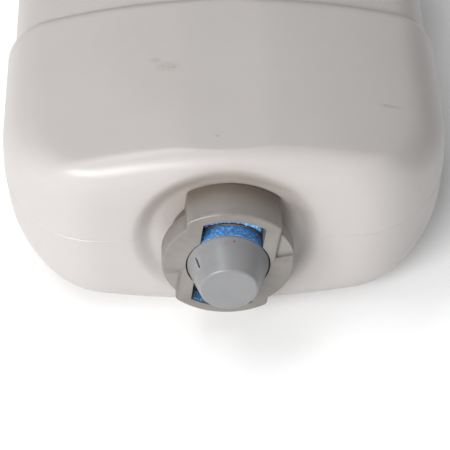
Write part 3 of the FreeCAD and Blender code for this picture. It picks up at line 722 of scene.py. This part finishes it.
@dataclass
class BottleSkin:
    """The blow-moulded bottle: a crowned flat body, a stepped-in middle, a neck and a hollow base.

    All sizes are in metres, and heights are along the neck axis from the shoulder plane.

    Args:
        half_width: Half width of the body.
        half_depth: Half thickness of the body.
        length: Length behind the shoulder plane.
        wall: Wall thickness.
        face_crown: Radius of the wide faces.
        side_crown: Radius of the narrow sides.
        edge: Radius between a face and a side.
        shoulder_corner: How far the shoulder stands in at the sides.
        shoulder_depth: Length over which the sides run out to full width.
        shoulder_round: Length over which the faces do.
        shoulder_dome: How far the shoulder stands in at the faces.
        shoulder_power: Fullness of the dome.
        shoulder_tight: Share of the edge radius at the shoulder plane.
        head: Length in front of the stepped-in middle.
        panel: Length of the stepped-in middle.
        inset: Depth of the step.
        step_round: Radius of the step.
        heel: Radius round the base.
        rest_flat: What the flat for resting takes off a face.
        punt_depth: Depth of the hollow base.
        punt_border: Width of the rim round the hollow.
        punt_slope: Slope of the hollow's side.
        moat_depth: Depth of the dished ring round the neck.
        moat_radius: Outer radius of its floor.
        moat_slope: Width of its rise.
        moat_outside: Depth on the shoulder at which the face's rings end.
        neck_bore: Inner radius of the neck.
        neck_wall: Its wall thickness.
        neck_rim: Height of its rim.
        seam_height: How far the mould seam stands out.
        seam_angles: Rays beside the seam, in radians.
        around: Rays round the body.
    """

    half_width: float = 99.75 * MM
    half_depth: float = 47.5 * MM
    length: float = 238.0 * MM
    wall: float = 1.6 * MM
    face_crown: float = 290.0 * MM
    side_crown: float = 250.0 * MM
    edge: float = 26.0 * MM
    shoulder_corner: float = 43.6 * MM
    shoulder_depth: float = 55.0 * MM
    shoulder_round: float = 11.3 * MM
    shoulder_dome: float = 16.5 * MM
    shoulder_power: float = 2.2
    shoulder_tight: float = 0.7
    head: float = 101.5 * MM
    panel: float = 82.0 * MM
    inset: float = 3.0 * MM
    step_round: float = 7.0 * MM
    heel: float = 13.0 * MM
    rest_flat: float = 0.6 * MM
    punt_depth: float = 4.0 * MM
    punt_border: float = 17.0 * MM
    punt_slope: float = 5.0 * MM
    moat_depth: float = 3.3 * MM
    moat_radius: float = 32.6 * MM
    moat_slope: float = 10.0 * MM
    moat_outside: float = 3.4 * MM
    neck_bore: float = 19.4 * MM
    neck_wall: float = 1.8 * MM
    neck_rim: float = 4.6 * MM
    seam_height: float = 0.22 * MM
    seam_angles: tuple[float, ...] = (0.0016, 0.0045, 0.010)
    around: int = 176

    def angles(self) -> np.ndarray:
        """Polar angles of the rays that the skin follows, close together at the mould seam."""
        even = np.linspace(0, 2 * math.pi, self.around, endpoint=False)
        wide, deep = self.half_width, self.half_depth
        spread = np.arctan2(deep * np.sin(even), wide * np.cos(even)) % (2 * math.pi)
        spread = spread[np.abs(np.sin(spread)) > 2.5 * max(self.seam_angles)]
        seam = [side + sign * a for side in (0.0, math.pi) for a in self.seam_angles for sign in (-1, 1)]
        return np.sort(np.concatenate([spread, np.array(seam + [0.0, math.pi])]) % (2 * math.pi))

    def reach(self, wide: float, deep: float, corner: float, angles: np.ndarray) -> np.ndarray:
        """Distance from the axis to a crowned outline, along each ray.

        Args:
            wide: Half width of the outline.
            deep: Half depth of the outline.
            corner: Radius of its corners.
            angles: The rays.

        Returns:
            One distance for each ray.
        """
        low = deep - self.face_crown
        side = wide - self.side_crown
        far_face, far_side = self.face_crown - corner, self.side_crown - corner
        span = math.hypot(side, low)
        along = (far_face**2 - far_side**2 + span**2) / (2 * span)
        off = math.sqrt(max(far_face**2 - along**2, 0.0))
        ux, uy = side / span, -low / span
        if off * (uy - ux) < 0:
            off = -off
        cx, cy = along * ux + off * uy, low + along * uy - off * ux
        face_at = math.atan2(low + (cy - low) * self.face_crown / far_face, cx * self.face_crown / far_face)
        side_at = math.atan2(cy * self.side_crown / far_side, side + (cx - side) * self.side_crown / far_side)
        x, y = np.abs(np.cos(angles)), np.abs(np.sin(angles))

        def hit(px: float, py: float, radius: float) -> np.ndarray:
            """Where the rays leave a circle about (px, py)."""
            near = x * px + y * py
            return near + np.sqrt(np.maximum(near**2 - px**2 - py**2 + radius**2, 0.0))

        turn = np.arctan2(y, x)
        by_face, by_corner = hit(0, low, self.face_crown), hit(cx, cy, corner)
        beyond = np.where(turn > face_at, by_face, by_corner)
        return np.where(turn < side_at, hit(side, 0, self.side_crown), beyond)

    def oval(self, depth: float, deep: float, wide: float, power: float = 2.0) -> float:
        """How far a quarter oval stands in at a depth below its top plane.

        Args:
            depth: The depth.
            deep: Depth at which it stands in no more.
            wide: How far it stands in at its top.
            power: Its fullness, 2 for an ellipse.

        Returns:
            The distance in.
        """
        if depth >= deep:
            return 0.0
        return wide - wide * (1 - ((deep - depth) / deep) ** power) ** (1 / power)

    def head_reach(self, depth: float, wall: float, angles: np.ndarray) -> np.ndarray:
        """The shoulder's outline at a depth below the shoulder plane.

        Args:
            depth: The depth.
            wall: How far the outline is moved in.
            angles: The rays.

        Returns:
            One distance for each ray.
        """
        plan = self.shoulder_depth - wall
        share = self.shoulder_tight + (1 - self.shoulder_tight) * min(1.0, depth / plan)
        wide = self.half_width - wall - self.oval(depth, plan, self.shoulder_corner - wall)
        full = self.half_depth - wall
        deep = full - self.oval(
            depth, self.shoulder_round - wall, self.shoulder_dome - wall, self.shoulder_power
        )
        return self.reach(wide, deep, (self.edge - wall) * share * deep / full, angles)

    def shoulder_rings(self, wall: float, angles: np.ndarray) -> list[Ring]:
        """The dished ring round the neck and the domed shoulder, from the neck outwards.

        Args:
            wall: How far the outlines are moved in.
            angles: The rays.

        Returns:
            The rings, as (distances, heights).
        """
        rings = []
        floor = -self.moat_depth - wall
        out = self.moat_radius + wall
        lip = out + self.moat_slope - 2 * wall
        flat = np.ones_like(angles)
        start = self.neck_bore if wall else self.neck_bore + self.neck_wall
        for share in MOAT_FLOOR_SHARES:
            rings.append(((start + (out - start) * share) * flat, floor * flat))
        depths = np.linspace(0, 1, 260) ** 2 * 12 * MM
        table = np.array([self.head_reach(d, wall, angles) for d in depths])

        def surface(radii: np.ndarray) -> np.ndarray:
            """Heights of the dome at one distance for each ray."""
            heights = [np.interp(r, table[:, i], depths, left=0.0) for i, r in enumerate(radii)]
            return -np.array(heights) - wall

        for share in np.linspace(0, 1, 12):
            radii = (out + (lip - out) * share) * flat
            sunk = (1 - share * share * (3 - 2 * share)) * self.moat_depth
            rings.append((radii, np.maximum(surface(radii) - sunk, floor)))
        first = self.head_reach(self.moat_outside, wall, angles)
        for share in SHOULDER_SHARES:
            radii = lip * (1 - share) + first * share
            rings.append((radii, surface(radii)))
        return rings

    def body_rings(self, wall: float, angles: np.ndarray) -> list[Ring]:
        """Every outline from the neck to the middle of the base.

        Args:
            wall: How far the outlines are moved in.
            angles: The rays.

        Returns:
            The rings, as (distances, heights).
        """
        rings = self.shoulder_rings(wall, angles)
        flat = np.ones_like(angles)
        wide, deep, corner = self.half_width - wall, self.half_depth - wall, self.edge - wall
        for depth in np.concatenate([np.linspace(3.9, 11, 12), np.linspace(12.5, 53, 16)]) * MM:
            rings.append((self.head_reach(depth, wall, angles), -(depth + wall) * flat))

        def ring(back: float, at: float) -> Ring:
            """The body's outline moved in by back, at a distance behind the shoulder plane."""
            return self.reach(wide - back, deep - back, corner - back, angles), -at * flat

        run = math.sqrt(self.step_round**2 - (self.step_round - self.inset) ** 2)
        rings += [ring(0.0, at) for at in np.linspace(self.shoulder_depth, self.head - 1 * MM, 6)]
        falls = [(self.step_round - math.sqrt(self.step_round**2 - (run * s) ** 2), run * s)
                 for s in STEP_SHARES]
        panel_start = self.head + run
        panel_end = panel_start + self.panel
        base_start = panel_end + run
        rings += [ring(back, self.head + at) for back, at in falls]
        rings.append(ring(self.inset + 0.05 * MM, panel_start + 0.5 * MM))
        rings.append(ring(self.inset, panel_start + 1.2 * MM))
        rings += [ring(self.inset, at) for at in np.linspace(panel_start + 6 * MM, panel_end - 6 * MM, 5)]
        rings += [ring(self.inset, panel_end - 1.2 * MM), ring(self.inset + 0.05 * MM, panel_end - 0.5 * MM)]
        rings += [ring(back, base_start - at) for back, at in reversed(falls)]
        end = self.length - wall
        heel = self.heel - wall
        rings += [ring(0.0, at) for at in np.linspace(base_start + 1 * MM, end - heel - 1 * MM, 4)]
        for turn in np.radians(HEEL_TURNS):
            depth = heel * (1 - math.cos(turn))
            rings.append(ring(self.oval(depth, heel, heel), end - depth))
        floor = end - self.punt_depth
        border = self.punt_border - wall
        plan = (self.half_width - border, self.half_depth - border, self.edge / 2)
        rings.append((self.reach(plan[0] + 0.6 * MM, plan[1] + 0.6 * MM, plan[2], angles), -end * flat))
        rings.append((self.reach(*plan, angles), -(end - 0.3 * MM) * flat))
        inner = (plan[0] - self.punt_slope, plan[1] - self.punt_slope, plan[2] - self.punt_slope)
        rings.append((self.reach(*inner, angles), -(floor + 0.3 * MM) * flat))
        within = self.reach(*(size - 1 * MM for size in inner), angles)
        rings += [(within * share, -floor * flat) for share in BASE_SHARES]
        return rings

    def neck_rings(self, angles: np.ndarray) -> list[Ring]:
        """The neck from its root outside, over the rim and down the bore."""
        flat = np.ones_like(angles)
        root, bore, rim = self.neck_bore + self.neck_wall, self.neck_bore, self.neck_rim
        soft = 0.3 * MM
        steps = [(root, -self.moat_depth + 1 * MM), (root, 0.0), (root, rim - soft), (root - soft, rim),
                 (bore + soft, rim), (bore, rim - soft), (bore, 0.0)]
        return [(radius * flat, height * flat) for radius, height in steps]

    def seam_lift(self, angles: np.ndarray) -> np.ndarray:
        """How far the mould seam stands out along each ray."""
        off = np.minimum(np.abs(np.sin(angles)), 1.0)
        return self.seam_height * np.clip(1 - off / self.seam_angles[1], 0, 1)

    def draw(self) -> bmesh.types.BMesh:
        """Pulls one ring of edges along the whole skin, outside and then inside."""
        angles = self.angles()
        outside = self.body_rings(0.0, angles)
        inside = self.body_rings(self.wall, angles)
        lift = self.seam_lift(angles)
        for i, (radii, heights) in enumerate(outside):
            if PLAIN_AT_NECK <= i < len(outside) - PLAIN_AT_BASE:
                outside[i] = (radii + lift, heights + (lift if i < FACE_RINGS else 0))
        rings = outside[::-1] + self.neck_rings(angles) + inside
        bm = bmesh.new()
        start = bmesh.ops.create_circle(bm, cap_ends=True, segments=len(angles), radius=1.0)["verts"]
        front = list({e for v in start for e in v.link_edges})
        verts = sorted(start, key=lambda v: math.atan2(v.co.y, v.co.x) % (2 * math.pi))
        cos, sin = np.cos(angles), np.sin(angles)
        flat = self.half_depth - self.rest_flat

        def settle(ring: Ring, around: list[bmesh.types.BMVert], inner: bool) -> None:
            """Moves a ring of vertices into place, and outside cuts it at the resting flats."""
            limit = 1.0 if inner else flat
            for i, vert in enumerate(around):
                y = max(-limit, min(limit, ring[0][i] * sin[i]))
                vert.co = (ring[0][i] * cos[i], y, ring[1][i])

        settle(rings[0], verts, False)
        for count, ring in enumerate(rings[1:], start=1):
            pulled = bmesh.ops.extrude_edge_only(bm, edges=front)["geom"]
            front = [g for g in pulled if isinstance(g, bmesh.types.BMEdge)]
            new = {g for g in pulled if isinstance(g, bmesh.types.BMVert)}
            verts = [next(e.other_vert(v) for e in v.link_edges if e.other_vert(v) in new) for v in verts]
            settle(ring, verts, count >= len(outside))
        bmesh.ops.contextual_create(bm, geom=front)
        bmesh.ops.recalc_face_normals(bm, faces=bm.faces)
        return bm

    def build(self, paint: Paint) -> bpy.types.Object:
        """Makes, dresses and places the skin."""
        piece = finish_mesh("bottle_skin", self.draw())
        keep_creases(piece, 55.0)
        paint.dress(piece, Finish.MILKY)
        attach(piece, Body.BOTTLE.value)
        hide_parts("bottle_shell")
        return piece


@dataclass
class NeckThread:
    """The screw ridge on the neck.

    Args:
        root: Radius of the neck's wall.
        crest: Radius of the ridge's top.
        foot: Width of the ridge at the wall.
        tip: Width of its top.
        pitch: Rise in one turn.
        turns: Its length in turns.
        low: Height of its start.
        steps: Copies of its outline.
    """

    root: float = 21.2 * MM
    crest: float = 22.5 * MM
    foot: float = 2.0 * MM
    tip: float = 1.1 * MM
    pitch: float = 4.0 * MM
    turns: float = 1.2
    low: float = -1.6 * MM
    steps: int = 96

    def build(self, paint: Paint) -> bpy.types.Object:
        """Spins the ridge's outline up the neck."""
        bm = bmesh.new()
        sunk = self.root - 0.3 * MM
        corners = [(sunk, -self.foot / 2), (self.root, -self.foot / 2), (self.crest, -self.tip / 2),
                   (self.crest, self.tip / 2), (self.root, self.foot / 2), (sunk, self.foot / 2)]
        verts = [bm.verts.new((radius, 0, self.low + height)) for radius, height in corners]
        start = bm.faces.new(verts)
        rise = Vector((0, 0, self.pitch * self.turns / self.steps))
        bmesh.ops.spin(
            bm, geom=[start, *start.edges, *verts], cent=(0, 0, 0), axis=(0, 0, 1), dvec=rise,
            angle=2 * math.pi * self.turns, steps=self.steps, use_duplicate=False,
        )
        bmesh.ops.recalc_face_normals(bm, faces=bm.faces)
        piece = finish_mesh("neck_thread", bm)
        keep_creases(piece, 30.0)
        paint.dress(piece, Finish.MILKY)
        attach(piece, Body.BOTTLE.value)
        return piece


# ---- dried detergent in the docking slots


@dataclass
class Crust:
    """A thin lumpy film on a round wall about the neck axis.

    Args:
        name: Name of the piece.
        radius: Radius of the wall it clings to.
        start: First angle, in degrees from +X, in the drawing.
        end: Last angle.
        low: Lowest height.
        high: Highest height.
        thick: Greatest thickness.
        ragged: How much of its border is eaten away, from 0 to 1.
        seed: Shifts the pattern.
        body: The group it moves with.
        slot: Name of a material slot; not used.
        columns: Grid steps round the wall.
        rows: Grid steps up the wall.
    """

    name: str
    radius: float
    start: float
    end: float
    low: float
    high: float
    thick: float = 0.25 * MM
    ragged: float = 0.45
    seed: float = 0.0
    body: Body = Body.PLUNGER
    slot: str = "nose_grey"
    columns: int = 84
    rows: int = 22

    def cover(self, across: float, along: float) -> float:
        """Thickness of the film at a place, not above 0 where it has none.

        Args:
            across: Place round the wall, from 0 to 1.
            along: Place up the wall, from 0 to 1.

        Returns:
            A share of the full thickness.
        """
        border = min(min(across, 1 - across) * 9.0, min(along, 1 - along) * 4.0)
        lumps = noise.fractal(Vector((across * 9 + self.seed, along * 3, self.seed)), 0.8, 2.2, 4)
        return border - self.ragged * (0.5 - lumps)

    def wrap(self, across: float, along: float, rise: float) -> Vector:
        """Where a point of the film lies.

        Args:
            across: Place round the wall, from 0 to 1.
            along: Place up the wall, from 0 to 1.
            rise: How far it stands off the wall.

        Returns:
            The point in the upright drawing.
        """
        angle = math.radians(self.start + (self.end - self.start) * across)
        radius = self.radius + rise
        height = self.low + (self.high - self.low) * along
        return Vector((radius * math.cos(angle), radius * math.sin(angle), height))

    def build(self, paint: Paint) -> bpy.types.Object:
        """Makes the film from a fine grid wrapped on the wall."""
        bm = bmesh.new()
        bmesh.ops.create_grid(bm, x_segments=self.columns, y_segments=self.rows, size=0.5)
        bare = []
        for vert in bm.verts:
            across, along = vert.co.x + 0.5, vert.co.y + 0.5
            cover = self.cover(across, along)
            if cover <= 0:
                bare.append(vert)
            lump = 0.55 + 0.9 * noise.fractal(Vector((across * 30, along * 9, self.seed + 3)), 0.7, 2.0, 4)
            rise = self.thick * max(0.12, min(1.0, cover * 1.6)) * max(0.25, lump)
            vert.co = self.wrap(across, along, rise)
        bmesh.ops.delete(bm, geom=bare, context="VERTS")
        bmesh.ops.recalc_face_normals(bm, faces=bm.faces)
        bmesh.ops.solidify(bm, geom=bm.faces[:], thickness=0.06 * MM)
        bmesh.ops.recalc_face_normals(bm, faces=bm.faces)
        piece = finish_mesh(self.name, bm)
        paint.dress(piece, Finish.BLUE)
        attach(piece, self.body.value)
        return piece


@dataclass
class SlotWallCrust(Crust):
    """A film on the inside of a round wall."""

    def wrap(self, across: float, along: float, rise: float) -> Vector:
        """Where a point of the film lies, standing off towards the neck axis."""
        return super().wrap(across, along, -rise)


@dataclass
class SlotFloorCrust(Crust):
    """A film on the flat floor of a slot, as wide as the slot and turned with it.

    Args:
        half_width: Half width of the slot.
        outer: Radius at which the film ends.
        turn: Clockwise turn of the slot, in degrees.
    """

    half_width: float = 13.2 * MM
    outer: float = 24.0 * MM
    turn: float = 7.3

    def wrap(self, across: float, along: float, rise: float) -> Vector:
        """Where a point of the film lies, between the nose and the film's outer radius."""
        x = self.half_width * (2 * across - 1)
        near = math.sqrt(max(self.radius**2 - x**2, 0.0))
        far = math.sqrt(max(self.outer**2 - x**2, near**2))
        point = Vector((x, near + (far - near) * along, self.low + rise))
        return Matrix.Rotation(-math.radians(self.turn), 3, "Z") @ point


@dataclass
class Speck:
    """A small dried drop on the nose.

    Args:
        name: Name of the piece.
        radius: Distance of its middle from the neck axis.
        angle: Its place round the nose, in degrees.
        height: Its height in the drawing.
        size: Radius of the ball that it is made from.
    """

    name: str
    radius: float
    angle: float
    height: float
    size: float = 0.42 * MM

    def build(self, paint: Paint) -> bpy.types.Object:
        """Makes a flattened lumpy ball on the nose."""
        bm = bmesh.new()
        bmesh.ops.create_icosphere(bm, subdivisions=3, radius=self.size)
        for vert in bm.verts:
            vert.co *= 1 + 0.5 * noise.noise(vert.co * 2400)
        bmesh.ops.scale(bm, vec=(0.45, 1.0, 0.8), verts=bm.verts)
        turn = Matrix.Rotation(math.radians(self.angle), 4, "Z")
        place = turn @ Matrix.Translation((self.radius, 0, self.height))
        bmesh.ops.transform(bm, matrix=place, verts=bm.verts)
        piece = finish_mesh(self.name, bm)
        paint.dress(piece, Finish.RED)
        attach(piece, Body.PLUNGER.value)
        return piece


@dataclass
class Spills:
    """All the dried detergent on the closure.

    Args:
        nose_radius: Radius of the nose's wall.
        slot_radius: Outer radius of the slots.
        front: Height of the collar's front.
        ledge: Height of the slots' floor.
    """

    nose_radius: float = 17.7 * MM
    slot_radius: float = 27.3 * MM
    front: float = 15.5 * MM
    ledge: float = 8.0 * MM

    def build(self, paint: Paint) -> list[bpy.types.Object]:
        """Makes the films and specks."""
        return [
            Crust("crust_nose", self.nose_radius, 28.0, 134.0, self.ledge + 0.2 * MM, self.front - 0.5 * MM,
                  thick=0.13 * MM, ragged=0.25, seed=2.3, columns=110).build(paint),
            SlotFloorCrust("crust_floor", self.nose_radius + 0.9 * MM, 0, 0, self.ledge + 0.02 * MM, 0,
                           thick=0.9 * MM, ragged=0.2, seed=4.4, body=Body.COLLAR,
                           slot="collar_grey").build(paint),
            SlotWallCrust("crust_lower", self.slot_radius, 236.0, 250.0, self.ledge + 0.4 * MM,
                          self.front - 0.3 * MM, thick=0.35 * MM, ragged=0.6, seed=7.1, body=Body.COLLAR,
                          slot="collar_grey", columns=48).build(paint),
            Speck("speck_wall", self.nose_radius + 0.08 * MM, 90.0, self.front - 2.0 * MM).build(paint),
            Speck("speck_cone", self.nose_radius - 0.5 * MM, 81.4, self.front + 1.9 * MM).build(paint),
        ]


# ---- CAD pieces that keep their shape


class Closure:
    """Collar, valve, nose and tube: CAD nodes that only need their finishes."""

    FINISHES: dict[str, Finish] = {
        "collar": Finish.WARM_GREY,
        "nose": Finish.NOSE_GREY,
        "valve_body": Finish.DARK,
        "tube_adaptor": Finish.DARK,
        "strainer": Finish.DARK,
        "neck_gasket": Finish.RUBBER,
        "boss_ring": Finish.RUBBER,
        "vent_valve": Finish.RUBBER,
        "poppet_seal": Finish.RUBBER,
        "adaptor_gasket": Finish.RUBBER,
        "stem": Finish.NATURAL,
        "poppet": Finish.NATURAL,
        "suction_tube": Finish.NATURAL,
        "stem_clip": Finish.STEEL,
        "nose_spring": Finish.STEEL,
    }

    def dress(self, paint: Paint) -> None:
        """Gives every CAD node that shows its finish."""
        for node, finish in self.FINISHES.items():
            paint.dress_node(node, finish)
            LOG.info("%s: %s", node, finish.name.lower())


# ---- floor, light and camera


@dataclass(frozen=True)
class Softbox:
    """A soft rectangular light.

    Args:
        name: Name of the light.
        power: Its power in watts.
        size: Its width and height in metres.
        place: Where it stands.
        aim: The point it faces.
    """

    name: str
    power: float
    size: tuple[float, float]
    place: tuple[float, float, float]
    aim: tuple[float, float, float]

    def build(self) -> None:
        """Adds the light."""
        data = bpy.data.lights.new(self.name, "AREA")
        data.shape = "RECTANGLE"
        data.size, data.size_y = self.size
        data.energy = self.power
        lamp = bpy.data.objects.new(self.name, data)
        lamp.location = self.place
        lamp.rotation_mode = "QUATERNION"
        lamp.rotation_quaternion = (Vector(self.aim) - Vector(self.place)).to_track_quat("-Z", "Y")
        bpy.context.scene.collection.objects.link(lamp)


SOFTBOXES = (
    Softbox("front", 37.0, (1.2, 0.7), (-0.8, -1.3, 0.86), (0, -0.1, 0.05)),
    Softbox("overhead", 4.6, (1.0, 0.3), (-0.3, 0.12, 1.1), (0, -0.1, 0.06)),
)


@dataclass
class Studio:
    """A pale floor, large soft lights and the camera.

    Args:
        elevation: How far above level the camera looks down from, in degrees.
        distance: Distance from the camera to its target.
        lens: Focal length, in millimetres.
        sensor: Width of the camera's sensor, in millimetres.
        aside: Target's distance beside the neck axis.
        ahead: Target's distance in front of the shoulder plane.
        above: Target's height over the neck axis.
        yaw: Turn of the camera about the upright, in degrees.
        roll: Turn of the camera about its own line of sight, in degrees.
        floor_half: Half width of the floor.
        sky: Strength of the pale surroundings.
    """

    elevation: float = 47.3
    distance: float = 0.834
    lens: float = 154.72
    sensor: float = 36.0
    aside: float = -0.94 * MM
    ahead: float = 2.72 * MM
    above: float = 11.65 * MM
    yaw: float = -1.15
    roll: float = 0.45
    floor_half: float = 4.0
    sky: float = 0.38

    def floor(self) -> None:
        """Makes the floor."""
        bm = bmesh.new()
        bmesh.ops.create_grid(bm, x_segments=8, y_segments=8, size=self.floor_half)
        mesh = bpy.data.meshes.new("floor")
        bm.to_mesh(mesh)
        bm.free()
        floor = bpy.data.objects.new("floor", mesh)
        bpy.context.scene.collection.objects.link(floor)
        material, _, shader = new_material("floor_paper")
        shader.inputs["Base Color"].default_value = (0.9, 0.9, 0.9, 1.0)
        shader.inputs["Roughness"].default_value = 0.9
        mesh.materials.append(material)

    def lights(self) -> None:
        """Adds the lights and the pale surroundings."""
        world = bpy.data.worlds.new("studio")
        world.use_nodes = True
        background = world.node_tree.nodes["Background"]
        background.inputs["Color"].default_value = (1.0, 1.0, 1.0, 1.0)
        background.inputs["Strength"].default_value = self.sky
        bpy.context.scene.world = world
        for softbox in SOFTBOXES:
            softbox.build()

    def camera(self) -> None:
        """Adds the camera."""
        data = bpy.data.cameras.new("camera")
        data.sensor_width, data.lens = self.sensor, self.lens
        data.clip_start, data.clip_end = 0.01, 20.0
        camera = bpy.data.objects.new("camera", data)
        lift, side = math.radians(self.elevation), math.radians(self.yaw)
        back = Vector((math.sin(side) * math.cos(lift), -math.cos(side) * math.cos(lift), math.sin(lift)))
        target = Vector((self.aside, LIE.shoulder - self.ahead, LIE.axis_height + self.above))
        camera.location = target + back * self.distance
        camera.rotation_mode = "QUATERNION"
        look = (-back).to_track_quat("-Z", "Y")
        camera.rotation_quaternion = look @ Matrix.Rotation(math.radians(-self.roll), 3, "Z").to_quaternion()
        bpy.context.scene.collection.objects.link(camera)
        bpy.context.scene.camera = camera

    def build(self) -> None:
        """Sets the whole studio up."""
        self.floor()
        self.lights()
        self.camera()
        bpy.context.scene.view_settings.view_transform = "Standard"


def main() -> None:
    """Builds everything in order."""
    logging.basicConfig(level=logging.INFO, format="%(name)s: %(message)s")
    paint = Paint()
    Studio().build()
    for piece in (BottleSkin().build(paint), NeckThread().build(paint), *Spills().build(paint)):
        LOG.info("%s: %d faces", piece.name, len(piece.data.polygons))
    Closure().dress(paint)
    bpy.context.view_layer.update()


if __name__ == "__main__":
    main()
